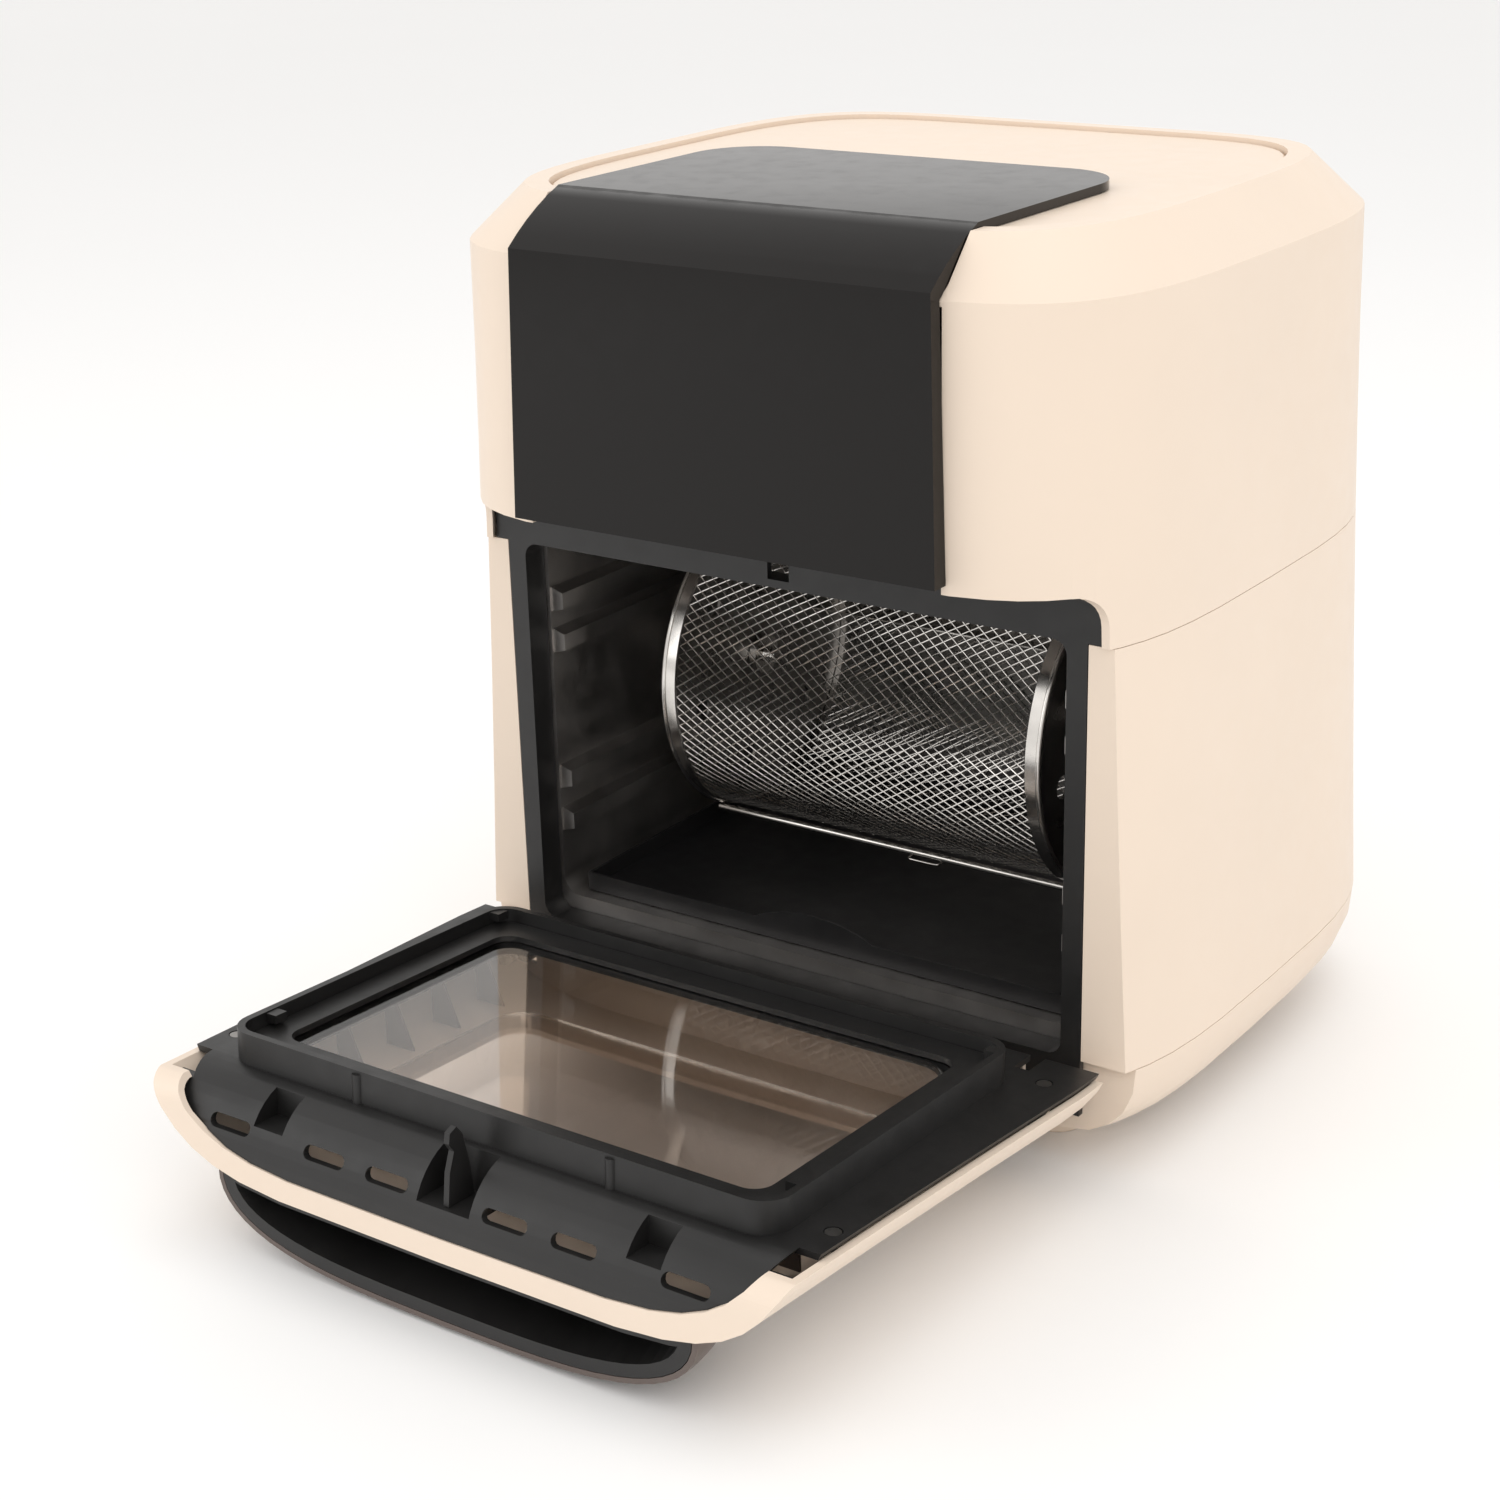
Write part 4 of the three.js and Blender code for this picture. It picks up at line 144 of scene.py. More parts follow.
def swept_tube(
    path: np.ndarray,
    radius: float,
    sides: int = 10,
    up: Sequence[float] = (0, 0, 1),
) -> tuple[np.ndarray, np.ndarray]:
    """A round bar along a path: at each point a circle stands square to the path's own direction, and both
    ends close on a middle point.

    Args:
        path: Points along the middle line.
        radius: The bar's radius.
        sides: Points round the circle.
        up: A direction that the path never runs along.

    Returns:
        The points and the triangles.
    """
    ahead = np.gradient(path, axis=0)
    ahead /= np.linalg.norm(ahead, axis=1, keepdims=True)
    side = np.cross(ahead, np.array(up, float))
    side /= np.linalg.norm(side, axis=1, keepdims=True)
    rise = np.cross(side, ahead)
    angle = np.linspace(0, 2 * np.pi, sides, endpoint=False)[None, :, None]
    circle = side[:, None] * np.cos(angle) + rise[:, None] * np.sin(angle)
    verts = (path[:, None] + radius * circle).reshape(-1, 3)
    walls = grid_faces(len(path), sides, False, True)
    first, last = len(verts), len(verts) + 1
    ring = np.arange(sides)
    after = (ring + 1) % sides
    end = (len(path) - 1) * sides
    start_cap = np.stack([np.full(sides, first), after, ring], -1)
    end_cap = np.stack([np.full(sides, last), end + ring, end + after], -1)
    verts = np.concatenate([verts, path[:1], path[-1:]])
    caps = np.concatenate([start_cap, end_cap])
    triangles = np.concatenate([walls[:, [0, 1, 2]], walls[:, [0, 2, 3]]])
    return verts, np.concatenate([triangles, caps])


def joined(parts: Sequence[tuple[np.ndarray, np.ndarray]]) -> tuple[np.ndarray, np.ndarray]:
    """Puts several surfaces in one list of points and one list of faces.

    Args:
        parts: Each surface's points and faces.

    Returns:
        All the points and all the faces.
    """
    verts = [points.reshape(-1, 3) for points, _ in parts]
    starts = np.cumsum([0] + [len(points) for points in verts[:-1]])
    faces = [corners + start for (_, corners), start in zip(parts, starts)]
    return np.concatenate(verts), np.concatenate(faces)


def smooth_copy(node: str, degrees: float = 32.0) -> bpy.types.Object:
    """A welded copy of a CAD node with rounded shading, which stands for it.

    Points at the same place to a thousandth of a millimetre become one, so neighbouring faces share their
    shading, and edges that bend more than the angle stay crisp.

    Args:
        node: The CAD node's name.
        degrees: The largest bend that is shaded as smooth.

    Returns:
        The copy.
    """
    microns_per_metre = 1e6
    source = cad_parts[node].data
    points = np.empty(len(source.vertices) * 3, np.float32)
    source.vertices.foreach_get("co", points)
    source.calc_loop_triangles()
    corners = np.empty(len(source.loop_triangles) * 3, np.int32)
    source.loop_triangles.foreach_get("vertices", corners)
    keys = np.round(points.reshape(-1, 3).astype(float) * microns_per_metre).astype(np.int64)
    unique, back = np.unique(keys, axis=0, return_inverse=True)
    faces = back.reshape(-1)[corners].reshape(-1, 3)
    a, b, c = faces.T
    faces = faces[(a != b) & (b != c) & (a != c)]
    piece = new_piece(f"{node}.skin", unique / microns_per_metre, faces, degrees)
    weighted = piece.modifiers.new("even_shading", "WEIGHTED_NORMAL")
    weighted.keep_sharp = True
    weighted.weight = 60
    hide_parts(node)
    return piece


# ---- Finishes ----


class NodeSheet:
    """The nodes of one material, with short calls to add and join them."""

    def __init__(self, name: str) -> None:
        """Starts a material whose surface is a Principled shader."""
        self.material = bpy.data.materials.new(name)
        self.material.use_nodes = True
        self.tree = self.material.node_tree
        self.shader = self.tree.nodes["Principled BSDF"]
        self.place = self.add("ShaderNodeTexCoord").outputs["Object"]

    def add(self, kind: str, **settings: Any) -> bpy.types.Node:
        """Adds a node and sets its properties."""
        node = self.tree.nodes.new(kind)
        for key, value in settings.items():
            setattr(node, key, value)
        return node

    def join(self, source: Any, target: Any) -> None:
        """Joins an output to an input."""
        self.tree.links.new(source, target)

    def stretched(self, stretch: Rgb) -> Any:
        """The object's coordinates scaled by a factor on each axis."""
        mapping = self.add("ShaderNodeMapping")
        mapping.inputs["Scale"].default_value = stretch
        self.join(self.place, mapping.inputs["Vector"])
        return mapping.outputs["Vector"]

    def noise(self, cell_mm: float, detail: float = 3.0, stretch: Rgb = (1.0, 1.0, 1.0)) -> Any:
        """Smooth noise whose lumps are about a given size in millimetres."""
        node = self.add("ShaderNodeTexNoise")
        node.inputs["Scale"].default_value = 1000.0 / cell_mm
        node.inputs["Detail"].default_value = detail
        self.join(self.stretched(stretch), node.inputs["Vector"])
        return node.outputs["Fac"]

    def spread(self, value: Any, low: float, high: float, start: float = 0.3, end: float = 0.7) -> Any:
        """Maps a value's middle band on to a range."""
        node = self.add("ShaderNodeMapRange")
        node.inputs["From Min"].default_value = start
        node.inputs["From Max"].default_value = end
        node.inputs["To Min"].default_value = low
        node.inputs["To Max"].default_value = high
        self.join(value, node.inputs["Value"])
        return node.outputs["Result"]

    def tint(self, value: Any, first: Rgb, second: Rgb) -> Any:
        """A colour between two, by a value from 0 to 1."""
        node = self.add("ShaderNodeMix", data_type="RGBA")
        colours = [s for s in node.inputs if s.name in ("A", "B") and s.type == "RGBA"]
        colours[0].default_value = (*first, 1)
        colours[1].default_value = (*second, 1)
        self.join(value, node.inputs[0])
        return next(s for s in node.outputs if s.type == "RGBA")

    def bump(self, height: Any, depth_mm: float, strength: float = 1.0) -> None:
        """Presses a height into the shader's normal."""
        node = self.add("ShaderNodeBump")
        node.inputs["Strength"].default_value = strength
        node.inputs["Distance"].default_value = depth_mm / 1000.0
        self.join(height, node.inputs["Height"])
        self.join(node.outputs["Normal"], self.shader.inputs["Normal"])


@dataclass(frozen=True)
class MouldedPlastic:
    """Plastic with a fine spark-eroded grain, slight cloudiness and uneven sheen."""

    name: str
    colour: Rgb
    roughness: float = 0.45
    cloud: float = 0.04
    grain_mm: float = 0.6
    depth_mm: float = 0.02
    specular: float = 0.5

    def build(self) -> bpy.types.Material:
        """Builds the material: cloud noise moves the colour, and two grains move sheen and height."""
        sheet = NodeSheet(self.name)
        light = tuple(min(1.0, c * (1 + self.cloud)) for c in self.colour)
        dark = tuple(c * (1 - self.cloud) for c in self.colour)
        clouds = sheet.spread(sheet.noise(70, 4), 0, 1)
        sheet.join(sheet.tint(clouds, dark, light), sheet.shader.inputs["Base Color"])
        sheen = sheet.spread(sheet.noise(9, 5), self.roughness - 0.05, self.roughness + 0.06)
        sheet.join(sheen, sheet.shader.inputs["Roughness"])
        sheet.bump(sheet.noise(self.grain_mm, 2), self.depth_mm)
        sheet.shader.inputs["Specular IOR Level"].default_value = self.specular
        return sheet.material


@dataclass(frozen=True)
class DrawnMetal:
    """Rolled or polished metal with streaks along one direction and faint smears."""

    name: str
    colour: Rgb
    roughness: float
    streak: Rgb = (0.06, 1.0, 1.0)
    streak_mm: float = 0.5
    depth_mm: float = 0.006
    smear: float = 0.08

    def build(self) -> bpy.types.Material:
        """Builds the material: stretched noise gives the streaks, and broad noise the smears."""
        sheet = NodeSheet(self.name)
        sheet.shader.inputs["Metallic"].default_value = 1.0
        dark = tuple(c * 0.8 for c in self.colour)
        streaks = sheet.noise(self.streak_mm, 4, self.streak)
        patches = sheet.spread(sheet.noise(22, 5), 0, 1)
        sheet.join(sheet.tint(patches, dark, self.colour), sheet.shader.inputs["Base Color"])
        smoothest = max(0.02, self.roughness - self.smear)
        sheen = sheet.spread(sheet.noise(14, 5), smoothest, self.roughness + self.smear)
        sheet.join(sheen, sheet.shader.inputs["Roughness"])
        sheet.bump(streaks, self.depth_mm)
        return sheet.material


@dataclass(frozen=True)
class ClearGlass:
    """Toughened glass with a faint brown body and a little dust on its surface."""

    name: str
    colour: Rgb = (0.985, 0.93, 0.885)
    roughness: float = 0.015

    def build(self) -> bpy.types.Material:
        """Builds the material: dust noise lifts the roughness a little in patches."""
        sheet = NodeSheet(self.name)
        shader = sheet.shader
        shader.inputs["Base Color"].default_value = (*self.colour, 1)
        shader.inputs["Transmission Weight"].default_value = 1.0
        shader.inputs["IOR"].default_value = 1.5
        dust = sheet.spread(sheet.noise(30, 6), self.roughness, self.roughness + 0.03)
        sheet.join(dust, shader.inputs["Roughness"])
        sheet.bump(sheet.noise(160, 1), 0.02, 0.3)
        return sheet.material


@dataclass(frozen=True)
class CircuitBoard:
    """Green lacquer over copper tracks."""

    name: str

    def build(self) -> bpy.types.Material:
        """Builds the material: a checked cell pattern stands for tracks under the lacquer."""
        sheet = NodeSheet(self.name)
        cells = sheet.add("ShaderNodeTexVoronoi", distance="CHEBYCHEV")
        cells.inputs["Scale"].default_value = 180.0
        sheet.join(sheet.place, cells.inputs["Vector"])
        tracks = sheet.spread(cells.outputs["Distance"], 0, 1, 0.35, 0.45)
        green = sheet.tint(tracks, (0.012, 0.07, 0.03), (0.04, 0.2, 0.08))
        sheet.join(green, sheet.shader.inputs["Base Color"])
        sheet.join(sheet.spread(tracks, 0.3, 0.45, 0, 1), sheet.shader.inputs["Roughness"])
        sheet.bump(tracks, 0.05)
        return sheet.material


class Finish(Enum):
    """Every finish on the oven, with the record's slot of the same look."""

    CREAM = (
        MouldedPlastic("cream_plastic_grain", (0.835, 0.70, 0.575), 0.4, 0.012, 0.5, 0.01),
        "cream_plastic",
    )
    BLACK = (
        MouldedPlastic("black_plastic_grain", (0.012, 0.0115, 0.0112), 0.4, 0.25, 0.7, 0.03),
        "black_plastic",
    )
    PANEL = (
        MouldedPlastic("panel_gloss", (0.006, 0.0048, 0.0042), 0.13, 0.05, 1.6, 0.0003, 0.26),
        "gloss_black",
    )
    BROWN = (
        MouldedPlastic("handle_cover_grain", (0.12, 0.092, 0.08), 0.4, 0.08, 0.6, 0.02),
        "brown_plastic",
    )
    RUBBER = (MouldedPlastic("foot_rubber", (0.02, 0.019, 0.019), 0.75, 0.3, 0.9, 0.06), "rubber")
    POLISHED = (
        DrawnMetal("basket_steel", (0.82, 0.79, 0.75), 0.18, (1, 1, 1), 1.2, 0.004, 0.06),
        "stainless",
    )
    SHEET = (DrawnMetal("oven_sheet", (0.36, 0.345, 0.33), 0.32), "sheet_steel")
    DARK_SHEET = (
        DrawnMetal("cavity_sheet", (0.5, 0.475, 0.455), 0.42, (1, 0.05, 1), 0.6, 0.008),
        "sheet_steel",
    )
    ENAMEL = (
        MouldedPlastic("tray_coating", (0.014, 0.0135, 0.014), 0.36, 0.2, 1.1, 0.03),
        "enamel",
    )
    GLASS = (ClearGlass("door_glass"), "clear_glass")
    BOARD = (CircuitBoard("board_lacquer"), "board")
    MOTOR = (
        DrawnMetal("motor_can", (0.5, 0.49, 0.48), 0.35, (1, 1, 0.05), 0.8, 0.01),
        "motor_metal",
    )


class Wardrobe:
    """Builds each finish once and puts it on pieces."""

    def __init__(self) -> None:
        """Starts with no material built."""
        self.built: dict[Finish, bpy.types.Material] = {}

    def dress(self, piece: bpy.types.Object, finish: Finish, body: str) -> bpy.types.Object:
        """Gives a piece its finish and body.

        Args:
            piece: The piece.
            finish: Its finish.
            body: The CAD body that it rides on.

        Returns:
            The piece.
        """
        if finish not in self.built:
            self.built[finish] = finish.value[0].build()
        piece.data.materials.clear()
        piece.data.materials.append(self.built[finish])
        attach(piece, body)
        LOG.info("%s: %s on %s", piece.name, finish.name.lower(), body)
        return piece


@dataclass
class Assembly:
    """A sub-assembly: CAD nodes that are kept with a finish, and pieces made here."""

    wardrobe: Wardrobe
    body: str = "body"
    kept: dict[str, Finish] = field(default_factory=dict)

    def build(self) -> None:
        """Dresses a smooth copy of every kept node, then makes this assembly's own pieces."""
        for node, finish in self.kept.items():
            self.wardrobe.dress(smooth_copy(node), finish, self.body)
        self.make()

    def make(self) -> None:
        """Makes the pieces that aren't copies; a plain assembly has none."""


# ---- Sub-assemblies ----


@dataclass
class Casing(Assembly):
    """The cream body: base, lower wrap, hood, lid and rear cover, with the feet and cable gland."""

    kept: dict[str, Finish] = field(
        default_factory=lambda: {
            "base_pan": Finish.CREAM,
            "lower_shell": Finish.CREAM,
            "upper_shell": Finish.CREAM,
            "top_lid": Finish.CREAM,
            "rear_cover": Finish.CREAM,
            "foot_front_left": Finish.CREAM,
            "foot_front_right": Finish.CREAM,
            "foot_rear_left": Finish.CREAM,
            "foot_rear_right": Finish.CREAM,
            "cord_gland": Finish.RUBBER,
            "rear_screw_left": Finish.SHEET,
            "rear_screw_right": Finish.SHEET,
        }
    )


@dataclass
class Controls(Assembly):
    """The folded front panel and the boards behind it."""

    kept: dict[str, Finish] = field(
        default_factory=lambda: {
            "control_panel": Finish.PANEL,
            "control_board": Finish.BOARD,
            "power_board": Finish.BOARD,
        }
    )


@dataclass
class Cavity(Assembly):
    """The oven box with its frame, tray, heater, lamp and hinge brackets."""

    kept: dict[str, Finish] = field(
        default_factory=lambda: {
            "front_frame": Finish.BLACK,
            "cavity_liner": Finish.DARK_SHEET,
            "drip_tray": Finish.ENAMEL,
            "element_guard": Finish.POLISHED,
            "heating_element": Finish.ENAMEL,
            "heater_dome": Finish.SHEET,
            "fan_motor": Finish.MOTOR,
            "motor_bracket": Finish.SHEET,
            "rotisserie_motor": Finish.MOTOR,
            "bearing_bracket": Finish.SHEET,
            "lamp_housing": Finish.SHEET,
            "lamp_lens": Finish.GLASS,
            "hinge_bracket_left": Finish.SHEET,
            "hinge_bracket_right": Finish.SHEET,
        }
    )


@dataclass
class Fan(Assembly):
    """The air fan, its shaft and the motor's cooling fan."""

    body: str = "fan"
    kept: dict[str, Finish] = field(
        default_factory=lambda: {
            "fan_shaft": Finish.POLISHED,
            "fan_blade": Finish.SHEET,
            "cooling_fan": Finish.SHEET,
        }
    )


@dataclass
class Drive(Assembly):
    """The socket that turns the basket's right-hand pin."""

    body: str = "basket"
    kept: dict[str, Finish] = field(default_factory=lambda: {"drive_socket": Finish.SHEET})


@dataclass
class Basket(Assembly):
    """The turning basket: an expanded-metal tube between rolled end bands, on stub axles."""

    body: str = "basket"
    cell_along: float = 0.0065
    cells_round: int = 94
    strand_wide: float = 0.00072
    strand_thick: float = 0.00046
    strand_tilt: float = 0.1
    wall_to_strand: float = 0.0007
    tilt_share: float = 0.6
    band_steps: int = 144
    band_points: int = 9
    band_depths: tuple[float, float] = (0.0024, 0.0009)
    band_share: float = 0.96
    bead_radius: float = 0.0011
    bead_points: int = 14
    axle_radius: float = 0.0036
    axle_stations: int = 160
    thread_pitch: float = 0.00125
    thread_height: float = 0.00022
    end_radius: float = 0.0002
    collar_span: tuple[float, float] = (0.0062, 0.0095)
    collar_radius: float = 0.0088
    pin_steps: int = 32
    vane_points: int = 12
    vane_stations: int = 24
    vane_thick: float = 0.0007
    vane_swell: float = 1.2
    rod_stations: int = 40
    rod_inset: float = 0.0005
    rod_share: float = 0.98
    latch_wire: float = 0.00044
    latch_points: int = 49
    latch_squareness: float = 0.35
    kept: dict[str, Finish] = field(
        default_factory=lambda: {
            "basket_end_left": Finish.SHEET,
            "basket_end_right": Finish.SHEET,
        }
    )

    def make(self) -> None:
        """Makes the mesh tube, bands, vane, rod, latch and axles."""
        low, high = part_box("basket_mesh")
        self.axle = Vector((0, (low.y + high.y) / 2, (low.z + high.z) / 2))
        self.make_mesh(low, high)
        for side in ("left", "right"):
            self.make_band(f"basket_ring_{side}")
            self.make_pin(f"basket_pin_{side}")
        self.make_vane()
        self.make_rod()
        self.make_latch()

    def finish(
        self,
        name: str,
        verts: np.ndarray,
        faces: np.ndarray,
        node: str,
        bend: float = 35.0,
    ) -> None:
        """Makes a polished piece that stands for a CAD node.

        Args:
            name: The piece's name.
            verts: Points in metres.
            faces: Corner numbers, one face a row.
            node: The CAD node that it stands for.
            bend: Edges that bend more than this many degrees stay sharp.
        """
        piece = new_piece(name, verts, faces, bend)
        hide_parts(node)
        self.wardrobe.dress(piece, Finish.POLISHED, self.body)

    def make_mesh(self, low: Vector, high: Vector) -> None:
        """Two families of flat strands wind opposite ways along the tube.

        A strand's angle grows by one cell's share of the turn for each cell's length along the tube. Its
        section is a flat diamond, tilted about the strand's own direction, that stays inside the tube's wall.

        Args:
            low: The tube's lowest corner.
            high: The tube's highest corner.
        """
        half = (high.x - low.x) / 2
        middle = (high.z - low.z) / 2 - self.wall_to_strand
        stations = int(round(2 * half / self.cell_along)) * 2 + 1
        x = np.linspace(-half, half, stations)[None, None, :, None]
        hand = np.array([1.0, -1.0])[:, None, None, None]
        start = (np.arange(self.cells_round) * 2 * np.pi / self.cells_round)[None, :, None, None]
        angle = start + hand * x / self.cell_along * 2 * np.pi / self.cells_round
        across = np.array([1.0, 0.0, -1.0, 0.0]) * self.strand_wide / 2
        through = np.array([0.0, 1.0, 0.0, -1.0]) * self.strand_thick / 2
        tilt = hand * self.strand_tilt
        out = middle + through * np.cos(tilt) + across * np.sin(tilt) * self.tilt_share
        round_it = across * np.cos(tilt) - through * np.sin(tilt)
        turn = angle + round_it / middle
        shape = np.broadcast_shapes(x.shape, turn.shape, out.shape)
        parts = [np.broadcast_to(x, shape), out * np.cos(turn), out * np.sin(turn)]
        verts = np.stack([np.broadcast_to(p, shape) for p in parts], -1) + np.array(self.axle)
        quads = grid_faces(stations, 4, False, True)
        ends = np.array([[3, 2, 1, 0], [0, 1, 2, 3]])
        ends[1] += (stations - 1) * 4
        one = np.concatenate([quads, ends])
        count = 2 * self.cells_round
        offsets = (np.arange(count) * stations * 4)[:, None, None]
        self.finish("basket_weave", verts, (one[None] + offsets).reshape(-1, 4), "basket_mesh", 20.0)

    def make_band(self, node: str) -> None:
        """An end band: a flat hoop with a rolled outer edge, its section turned round the axle.

        Args:
            node: The CAD ring that it stands for.
        """
        low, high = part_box(node)
        radius = (high.z - low.z) / 2
        wide = (high.x - low.x) / 2
        lip = self.bead_radius
        outer = 1.0 if high.x > 0 else -1.0
        turn = np.linspace(0, 2 * np.pi, self.bead_points, endpoint=False)
        bead_x = (wide - lip) * outer + lip * np.cos(turn)
        bead_r = radius - lip + lip * np.sin(turn)
        bead = np.stack([bead_x, bead_r], -1)
        spread = wide * np.sin(np.linspace(-np.pi / 2, np.pi / 2, self.band_points)) * self.band_share
        inner_depth, outer_depth = self.band_depths
        flat_x = np.concatenate([spread, -spread])
        flat_r = np.repeat([radius - inner_depth, radius - outer_depth], self.band_points)
        hoop = np.stack([flat_x, flat_r], -1)
        centre = Vector(((low.x + high.x) / 2, self.axle.y, self.axle.z))
        rings = [turned_ring(profile, Axis.X, centre, self.band_steps) for profile in (hoop, bead)]
        self.finish(f"{node}.band", *joined(rings), node)

    def make_pin(self, node: str) -> None:
        """A stub axle: a threaded bar whose radius ripples along it, with a round collar.

        Args:
            node: The CAD pin that it stands for.
        """
        low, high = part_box(node)
        side = 1.0 if high.x > 0 else -1.0
        near, far = (low.x, high.x) if side > 0 else (high.x, low.x)
        x = np.linspace(near, far, self.axle_stations)
        wave = np.sin(2 * np.pi * (x - near) / self.thread_pitch)
        radius = self.axle_radius - self.thread_height + self.thread_height * wave
        radius[[0, -1]] = self.end_radius
        axle = np.stack([x, radius], -1)
        start, stop = self.collar_span
        collar_x = near + side * np.array([start, start, stop, stop])
        collar_r = [self.end_radius, self.collar_radius, self.collar_radius, self.end_radius]
        collar = np.stack([collar_x, np.array(collar_r)], -1)
        middle = Vector((0, self.axle.y, self.axle.z))
        profiles = [profile if side > 0 else profile[::-1] for profile in (axle, collar)]
        rings = [turned_ring(profile, Axis.X, middle, self.pin_steps) for profile in profiles]
        self.finish(f"{node}.axle", *joined(rings), node, 50.0)

    def make_vane(self) -> None:
        """The lifting vane: a shallow swelling strip, the same section all along."""
        low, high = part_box("basket_vane")
        count, stations = self.vane_points, self.vane_stations
        y = np.linspace(low.y, high.y, count)
        share = (y - low.y) / (high.y - low.y)
        rise = (high.z - low.z) * 0.5
        top = low.z + rise + rise * np.clip(np.sin(share * np.pi) * self.vane_swell, 0, 1)
        bottom = top - self.vane_thick
        outline_y = np.concatenate([y, y[::-1]])
        outline_z = np.concatenate([bottom, top[::-1]])
        x = np.linspace(low.x, high.x, stations)[:, None]
        verts = np.stack(np.broadcast_arrays(x, outline_y, outline_z), -1)
        walls = grid_faces(stations, 2 * count, False, True)[:, ::-1]
        k = np.arange(count - 1)
        cap = np.stack([k, k + 1, 2 * count - 2 - k, 2 * count - 1 - k], -1)
        far_cap = cap + (stations - 1) * 2 * count
        faces = np.concatenate([walls, cap[:, ::-1], far_cap])
        self.finish("basket_vane.fold", verts, faces, "basket_vane")

    def make_rod(self) -> None:
        """The hatch rod: a straight round bar."""
        low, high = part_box("basket_rod")
        count = self.rod_stations
        radius = (high.z - low.z) / 2
        x = np.linspace(low.x + self.rod_inset, high.x - self.rod_inset, count)
        y, z = np.full(count, (low.y + high.y) / 2), np.full(count, (low.z + high.z) / 2)
        verts, faces = swept_tube(np.stack([x, y, z], -1), radius * self.rod_share, 16)
        self.finish("basket_rod.bar", verts, faces, "basket_rod", 60.0)

    def make_latch(self) -> None:
        """The hatch latch: a wire that follows a squared loop, level with the latch's middle."""
        low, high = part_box("basket_latch")
        wire, square = self.latch_wire, self.latch_squareness
        turn = np.linspace(0, 2 * np.pi, self.latch_points)
        wide, deep = (high.x - low.x) / 2 - wire, (high.y - low.y) / 2 - wire
        x = (low.x + high.x) / 2 + wide * np.sign(np.cos(turn)) * np.abs(np.cos(turn)) ** square
        y = (low.y + high.y) / 2 + deep * np.sign(np.sin(turn)) * np.abs(np.sin(turn)) ** square
        z = np.full(self.latch_points, (low.z + high.z) / 2)
        verts, faces = swept_tube(np.stack([x, y, z], -1), wire, 8)
        self.finish("basket_latch.wire", verts, faces, "basket_latch", 60.0)


@dataclass
class Door(Assembly):
    """The drop-down door with its glass, latch, hinges and scoop handle."""

    body: str = "door"
    gusset_count: int = 5
    gusset_thick: float = 0.0012
    gusset_reach: tuple[float, float] = (0.017, 0.003)
    gusset_top_width: float = 0.003
    gusset_gap: float = 0.0012
    gusset_end_share: float = 0.14
    glass_to_gusset: float = 0.0046
    open_degrees: float = 86.34
    kept: dict[str, Finish] = field(
        default_factory=lambda: {
            "door_outer_shell": Finish.CREAM,
            "door_liner": Finish.BLACK,
            "inner_glass": Finish.GLASS,
            "outer_glass": Finish.GLASS,
            "glass_retainer": Finish.BLACK,
            "latch_hook": Finish.BLACK,
            "handle_body": Finish.BLACK,
            "handle_cover": Finish.BROWN,
            "hinge_arm_left": Finish.SHEET,
            "hinge_arm_right": Finish.SHEET,
            "hinge_pin_left": Finish.SHEET,
            "hinge_pin_right": Finish.SHEET,
            "door_screw_lower_left": Finish.SHEET,
            "door_screw_lower_right": Finish.SHEET,
            "door_screw_upper_left": Finish.SHEET,
            "door_screw_upper_right": Finish.SHEET,
        }
    )

    def make(self) -> None:
        """Makes the gussets that stiffen the shell on both sides of the window."""
        low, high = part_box("glass_retainer")
        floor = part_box("outer_glass")[0].z + self.glass_to_gusset
        for side in (-1, 1):
            edge = low.x if side < 0 else high.x
            self.make_gussets(side, edge, low, high, floor)

    def make_gussets(
        self,
        side: int,
        edge: float,
        low: Vector,
        high: Vector,
        floor: float,
    ) -> None:
        """Makes one side's row of gussets as one piece.

        Each is a thin triangle: it stands on the shell with its slope towards the window, the row keeps an
        even step along the window's side, and each stands higher as the open door rises from its hinge.

        Args:
            side: -1 for the left side and 1 for the right.
            edge: The retainer's outer edge on that side.
            low: The retainer's lowest corner.
            high: The retainer's highest corner.
            floor: The height that the gusset nearest the hinge stands at.
        """
        near, far = (edge - side * reach for reach in self.gusset_reach)
        top = low.z - self.gusset_gap
        tip = far - side * self.gusset_top_width
        outline = np.array([[near, floor], [far, floor], [far, top], [tip, top]])
        inset = self.gusset_end_share * (high.y - low.y)
        place = np.linspace(low.y + inset, high.y - inset, self.gusset_count)
        thick = np.array([-0.5, 0.5]) * self.gusset_thick
        shape = (self.gusset_count, 2, 4)
        y = np.broadcast_to(place[:, None, None] + thick[None, :, None], shape)
        x = np.broadcast_to(outline[None, None, :, 0], shape)
        lean = math.tan(math.radians(90 - self.open_degrees))
        z = outline[None, None, :, 1] + lean * (high.y - y)
        verts = np.stack([x, y, z], -1)
        walls = [[k, (k + 1) % 4, 4 + (k + 1) % 4, 4 + k] for k in range(4)]
        one = np.array([[3, 2, 1, 0], [4, 5, 6, 7], *walls])
        if side < 0:
            one = one[:, ::-1]
        offsets = (np.arange(self.gusset_count) * 8)[:, None, None]
        name = "door_gussets_left" if side < 0 else "door_gussets_right"
        piece = new_piece(name, verts, (one[None] + offsets).reshape(-1, 4), 20.0)
        self.wardrobe.dress(piece, Finish.BROWN, self.body)


# ---- Studio ----


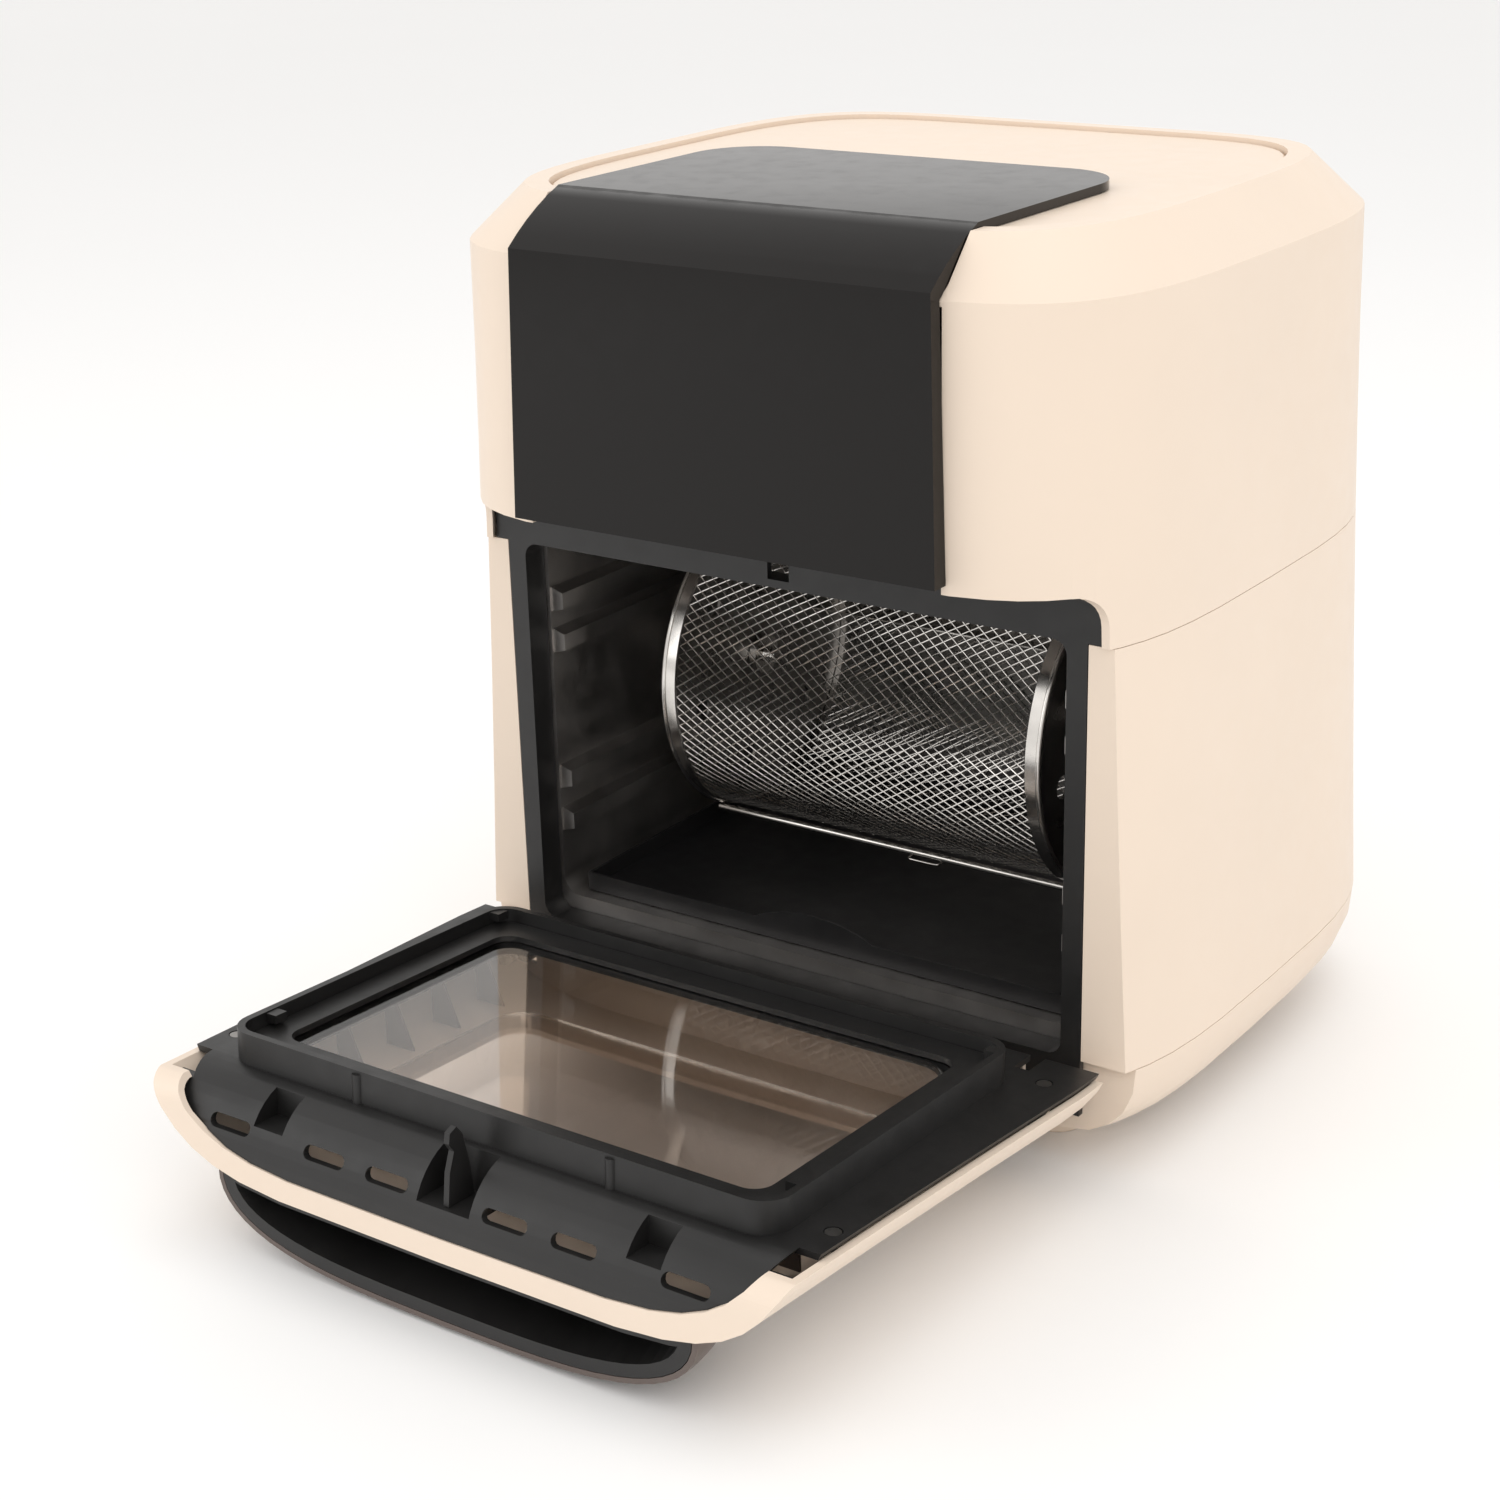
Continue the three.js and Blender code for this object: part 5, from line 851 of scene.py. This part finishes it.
@dataclass(frozen=True)
class Studio:
    """The floor, lights and camera round the oven."""

    camera_place: tuple[float, float, float] = (0.5717, -0.85135, 0.5319)
    azimuth: float = 35.25
    elevation: float = 20.77
    roll: float = -1.56
    lens: float = 65.32
    floor_reach: float = 9.0
    floor_points: int = 7
    floor_drop: float = 0.0001
    room_light: float = 0.95

    def build(self) -> None:
        """Lays the floor, lights the room and sets the camera."""
        self.lay_floor()
        self.light_room()
        self.set_camera()

    def lay_floor(self) -> None:
        """A wide pale sheet at the height that the feet stand on, a touch lower so that nothing flickers."""
        count = self.floor_points
        wide = np.linspace(-self.floor_reach, self.floor_reach, count)
        x, y = np.meshgrid(wide, wide)
        verts = np.stack([x, y, np.full_like(x, -self.floor_drop)], -1)
        floor = new_piece("floor", verts, grid_faces(count, count, False, False))
        sheet = NodeSheet("floor_paper")
        near_white = sheet.tint(sheet.noise(900, 2), (0.93, 0.93, 0.928), (0.95, 0.95, 0.948))
        sheet.join(near_white, sheet.shader.inputs["Base Color"])
        sheet.shader.inputs["Roughness"].default_value = 0.6
        sheet.shader.inputs["Specular IOR Level"].default_value = 0.2
        sheet.bump(sheet.noise(3, 2), 0.02)
        floor.data.materials.append(sheet.material)

    def light_room(self) -> None:
        """An even white room with soft boxes: a large key at front right, a fill at left and a top light."""
        bpy.context.scene.view_settings.view_transform = "Standard"
        world = bpy.data.worlds.new("studio")
        bpy.context.scene.world = world
        world.use_nodes = True
        background = world.node_tree.nodes["Background"]
        background.inputs["Color"].default_value = (1.0, 0.985, 0.97, 1)
        background.inputs["Strength"].default_value = self.room_light
        self.add_box("key_light", (1.3, -1.2, 1.5), (0, 0, 0.18), 1.4, 7.0)
        self.add_box("fill_light", (-1.5, -1.3, 0.9), (0, 0, 0.2), 1.2, 5.0)
        self.add_box("top_light", (0.1, 0.5, 1.9), (0, 0.05, 0.3), 1.5, 6.0)

    def add_box(
        self,
        name: str,
        place: Sequence[float],
        target: Sequence[float],
        size: float,
        power: float,
    ) -> None:
        """Adds a square soft box that faces a target.

        Args:
            name: The light's name.
            place: Where it hangs.
            target: What it faces.
            size: Its side.
            power: Its power in watts.
        """
        data = bpy.data.lights.new(name, "AREA")
        data.size = size
        data.energy = power
        lamp = bpy.data.objects.new(name, data)
        bpy.context.scene.collection.objects.link(lamp)
        lamp.location = place
        lamp.rotation_euler = (Vector(target) - Vector(place)).to_track_quat("-Z", "Y").to_euler()

    def set_camera(self) -> None:
        """Turns the camera by its azimuth, elevation and roll and sets its lens."""
        turn, rise, roll = (math.radians(v) for v in (self.azimuth, self.elevation, self.roll))
        right = Vector((math.cos(turn), math.sin(turn), 0))
        level = math.cos(rise)
        back = Vector((math.sin(turn) * level, -math.cos(turn) * level, math.sin(rise)))
        up = back.cross(right)
        across = right * math.cos(roll) + up * math.sin(roll)
        upright = up * math.cos(roll) - right * math.sin(roll)
        data = bpy.data.cameras.new("camera")
        data.lens = self.lens
        data.sensor_width = 36.0
        camera = bpy.data.objects.new("camera", data)
        bpy.context.scene.collection.objects.link(camera)
        frame = Matrix((across, upright, back)).transposed().to_4x4()
        frame.translation = Vector(self.camera_place)
        camera.matrix_world = frame
        bpy.context.scene.camera = camera


def main() -> None:
    """Builds the oven's classes in order, then the studio."""
    logging.basicConfig(level=logging.INFO, format="%(name)s: %(message)s")
    wardrobe = Wardrobe()
    for kind in (Casing, Controls, Cavity, Fan, Drive, Basket, Door):
        LOG.info("building %s", kind.__name__.lower())
        kind(wardrobe).build()
    Studio().build()


if __name__ == "__main__":
    main()
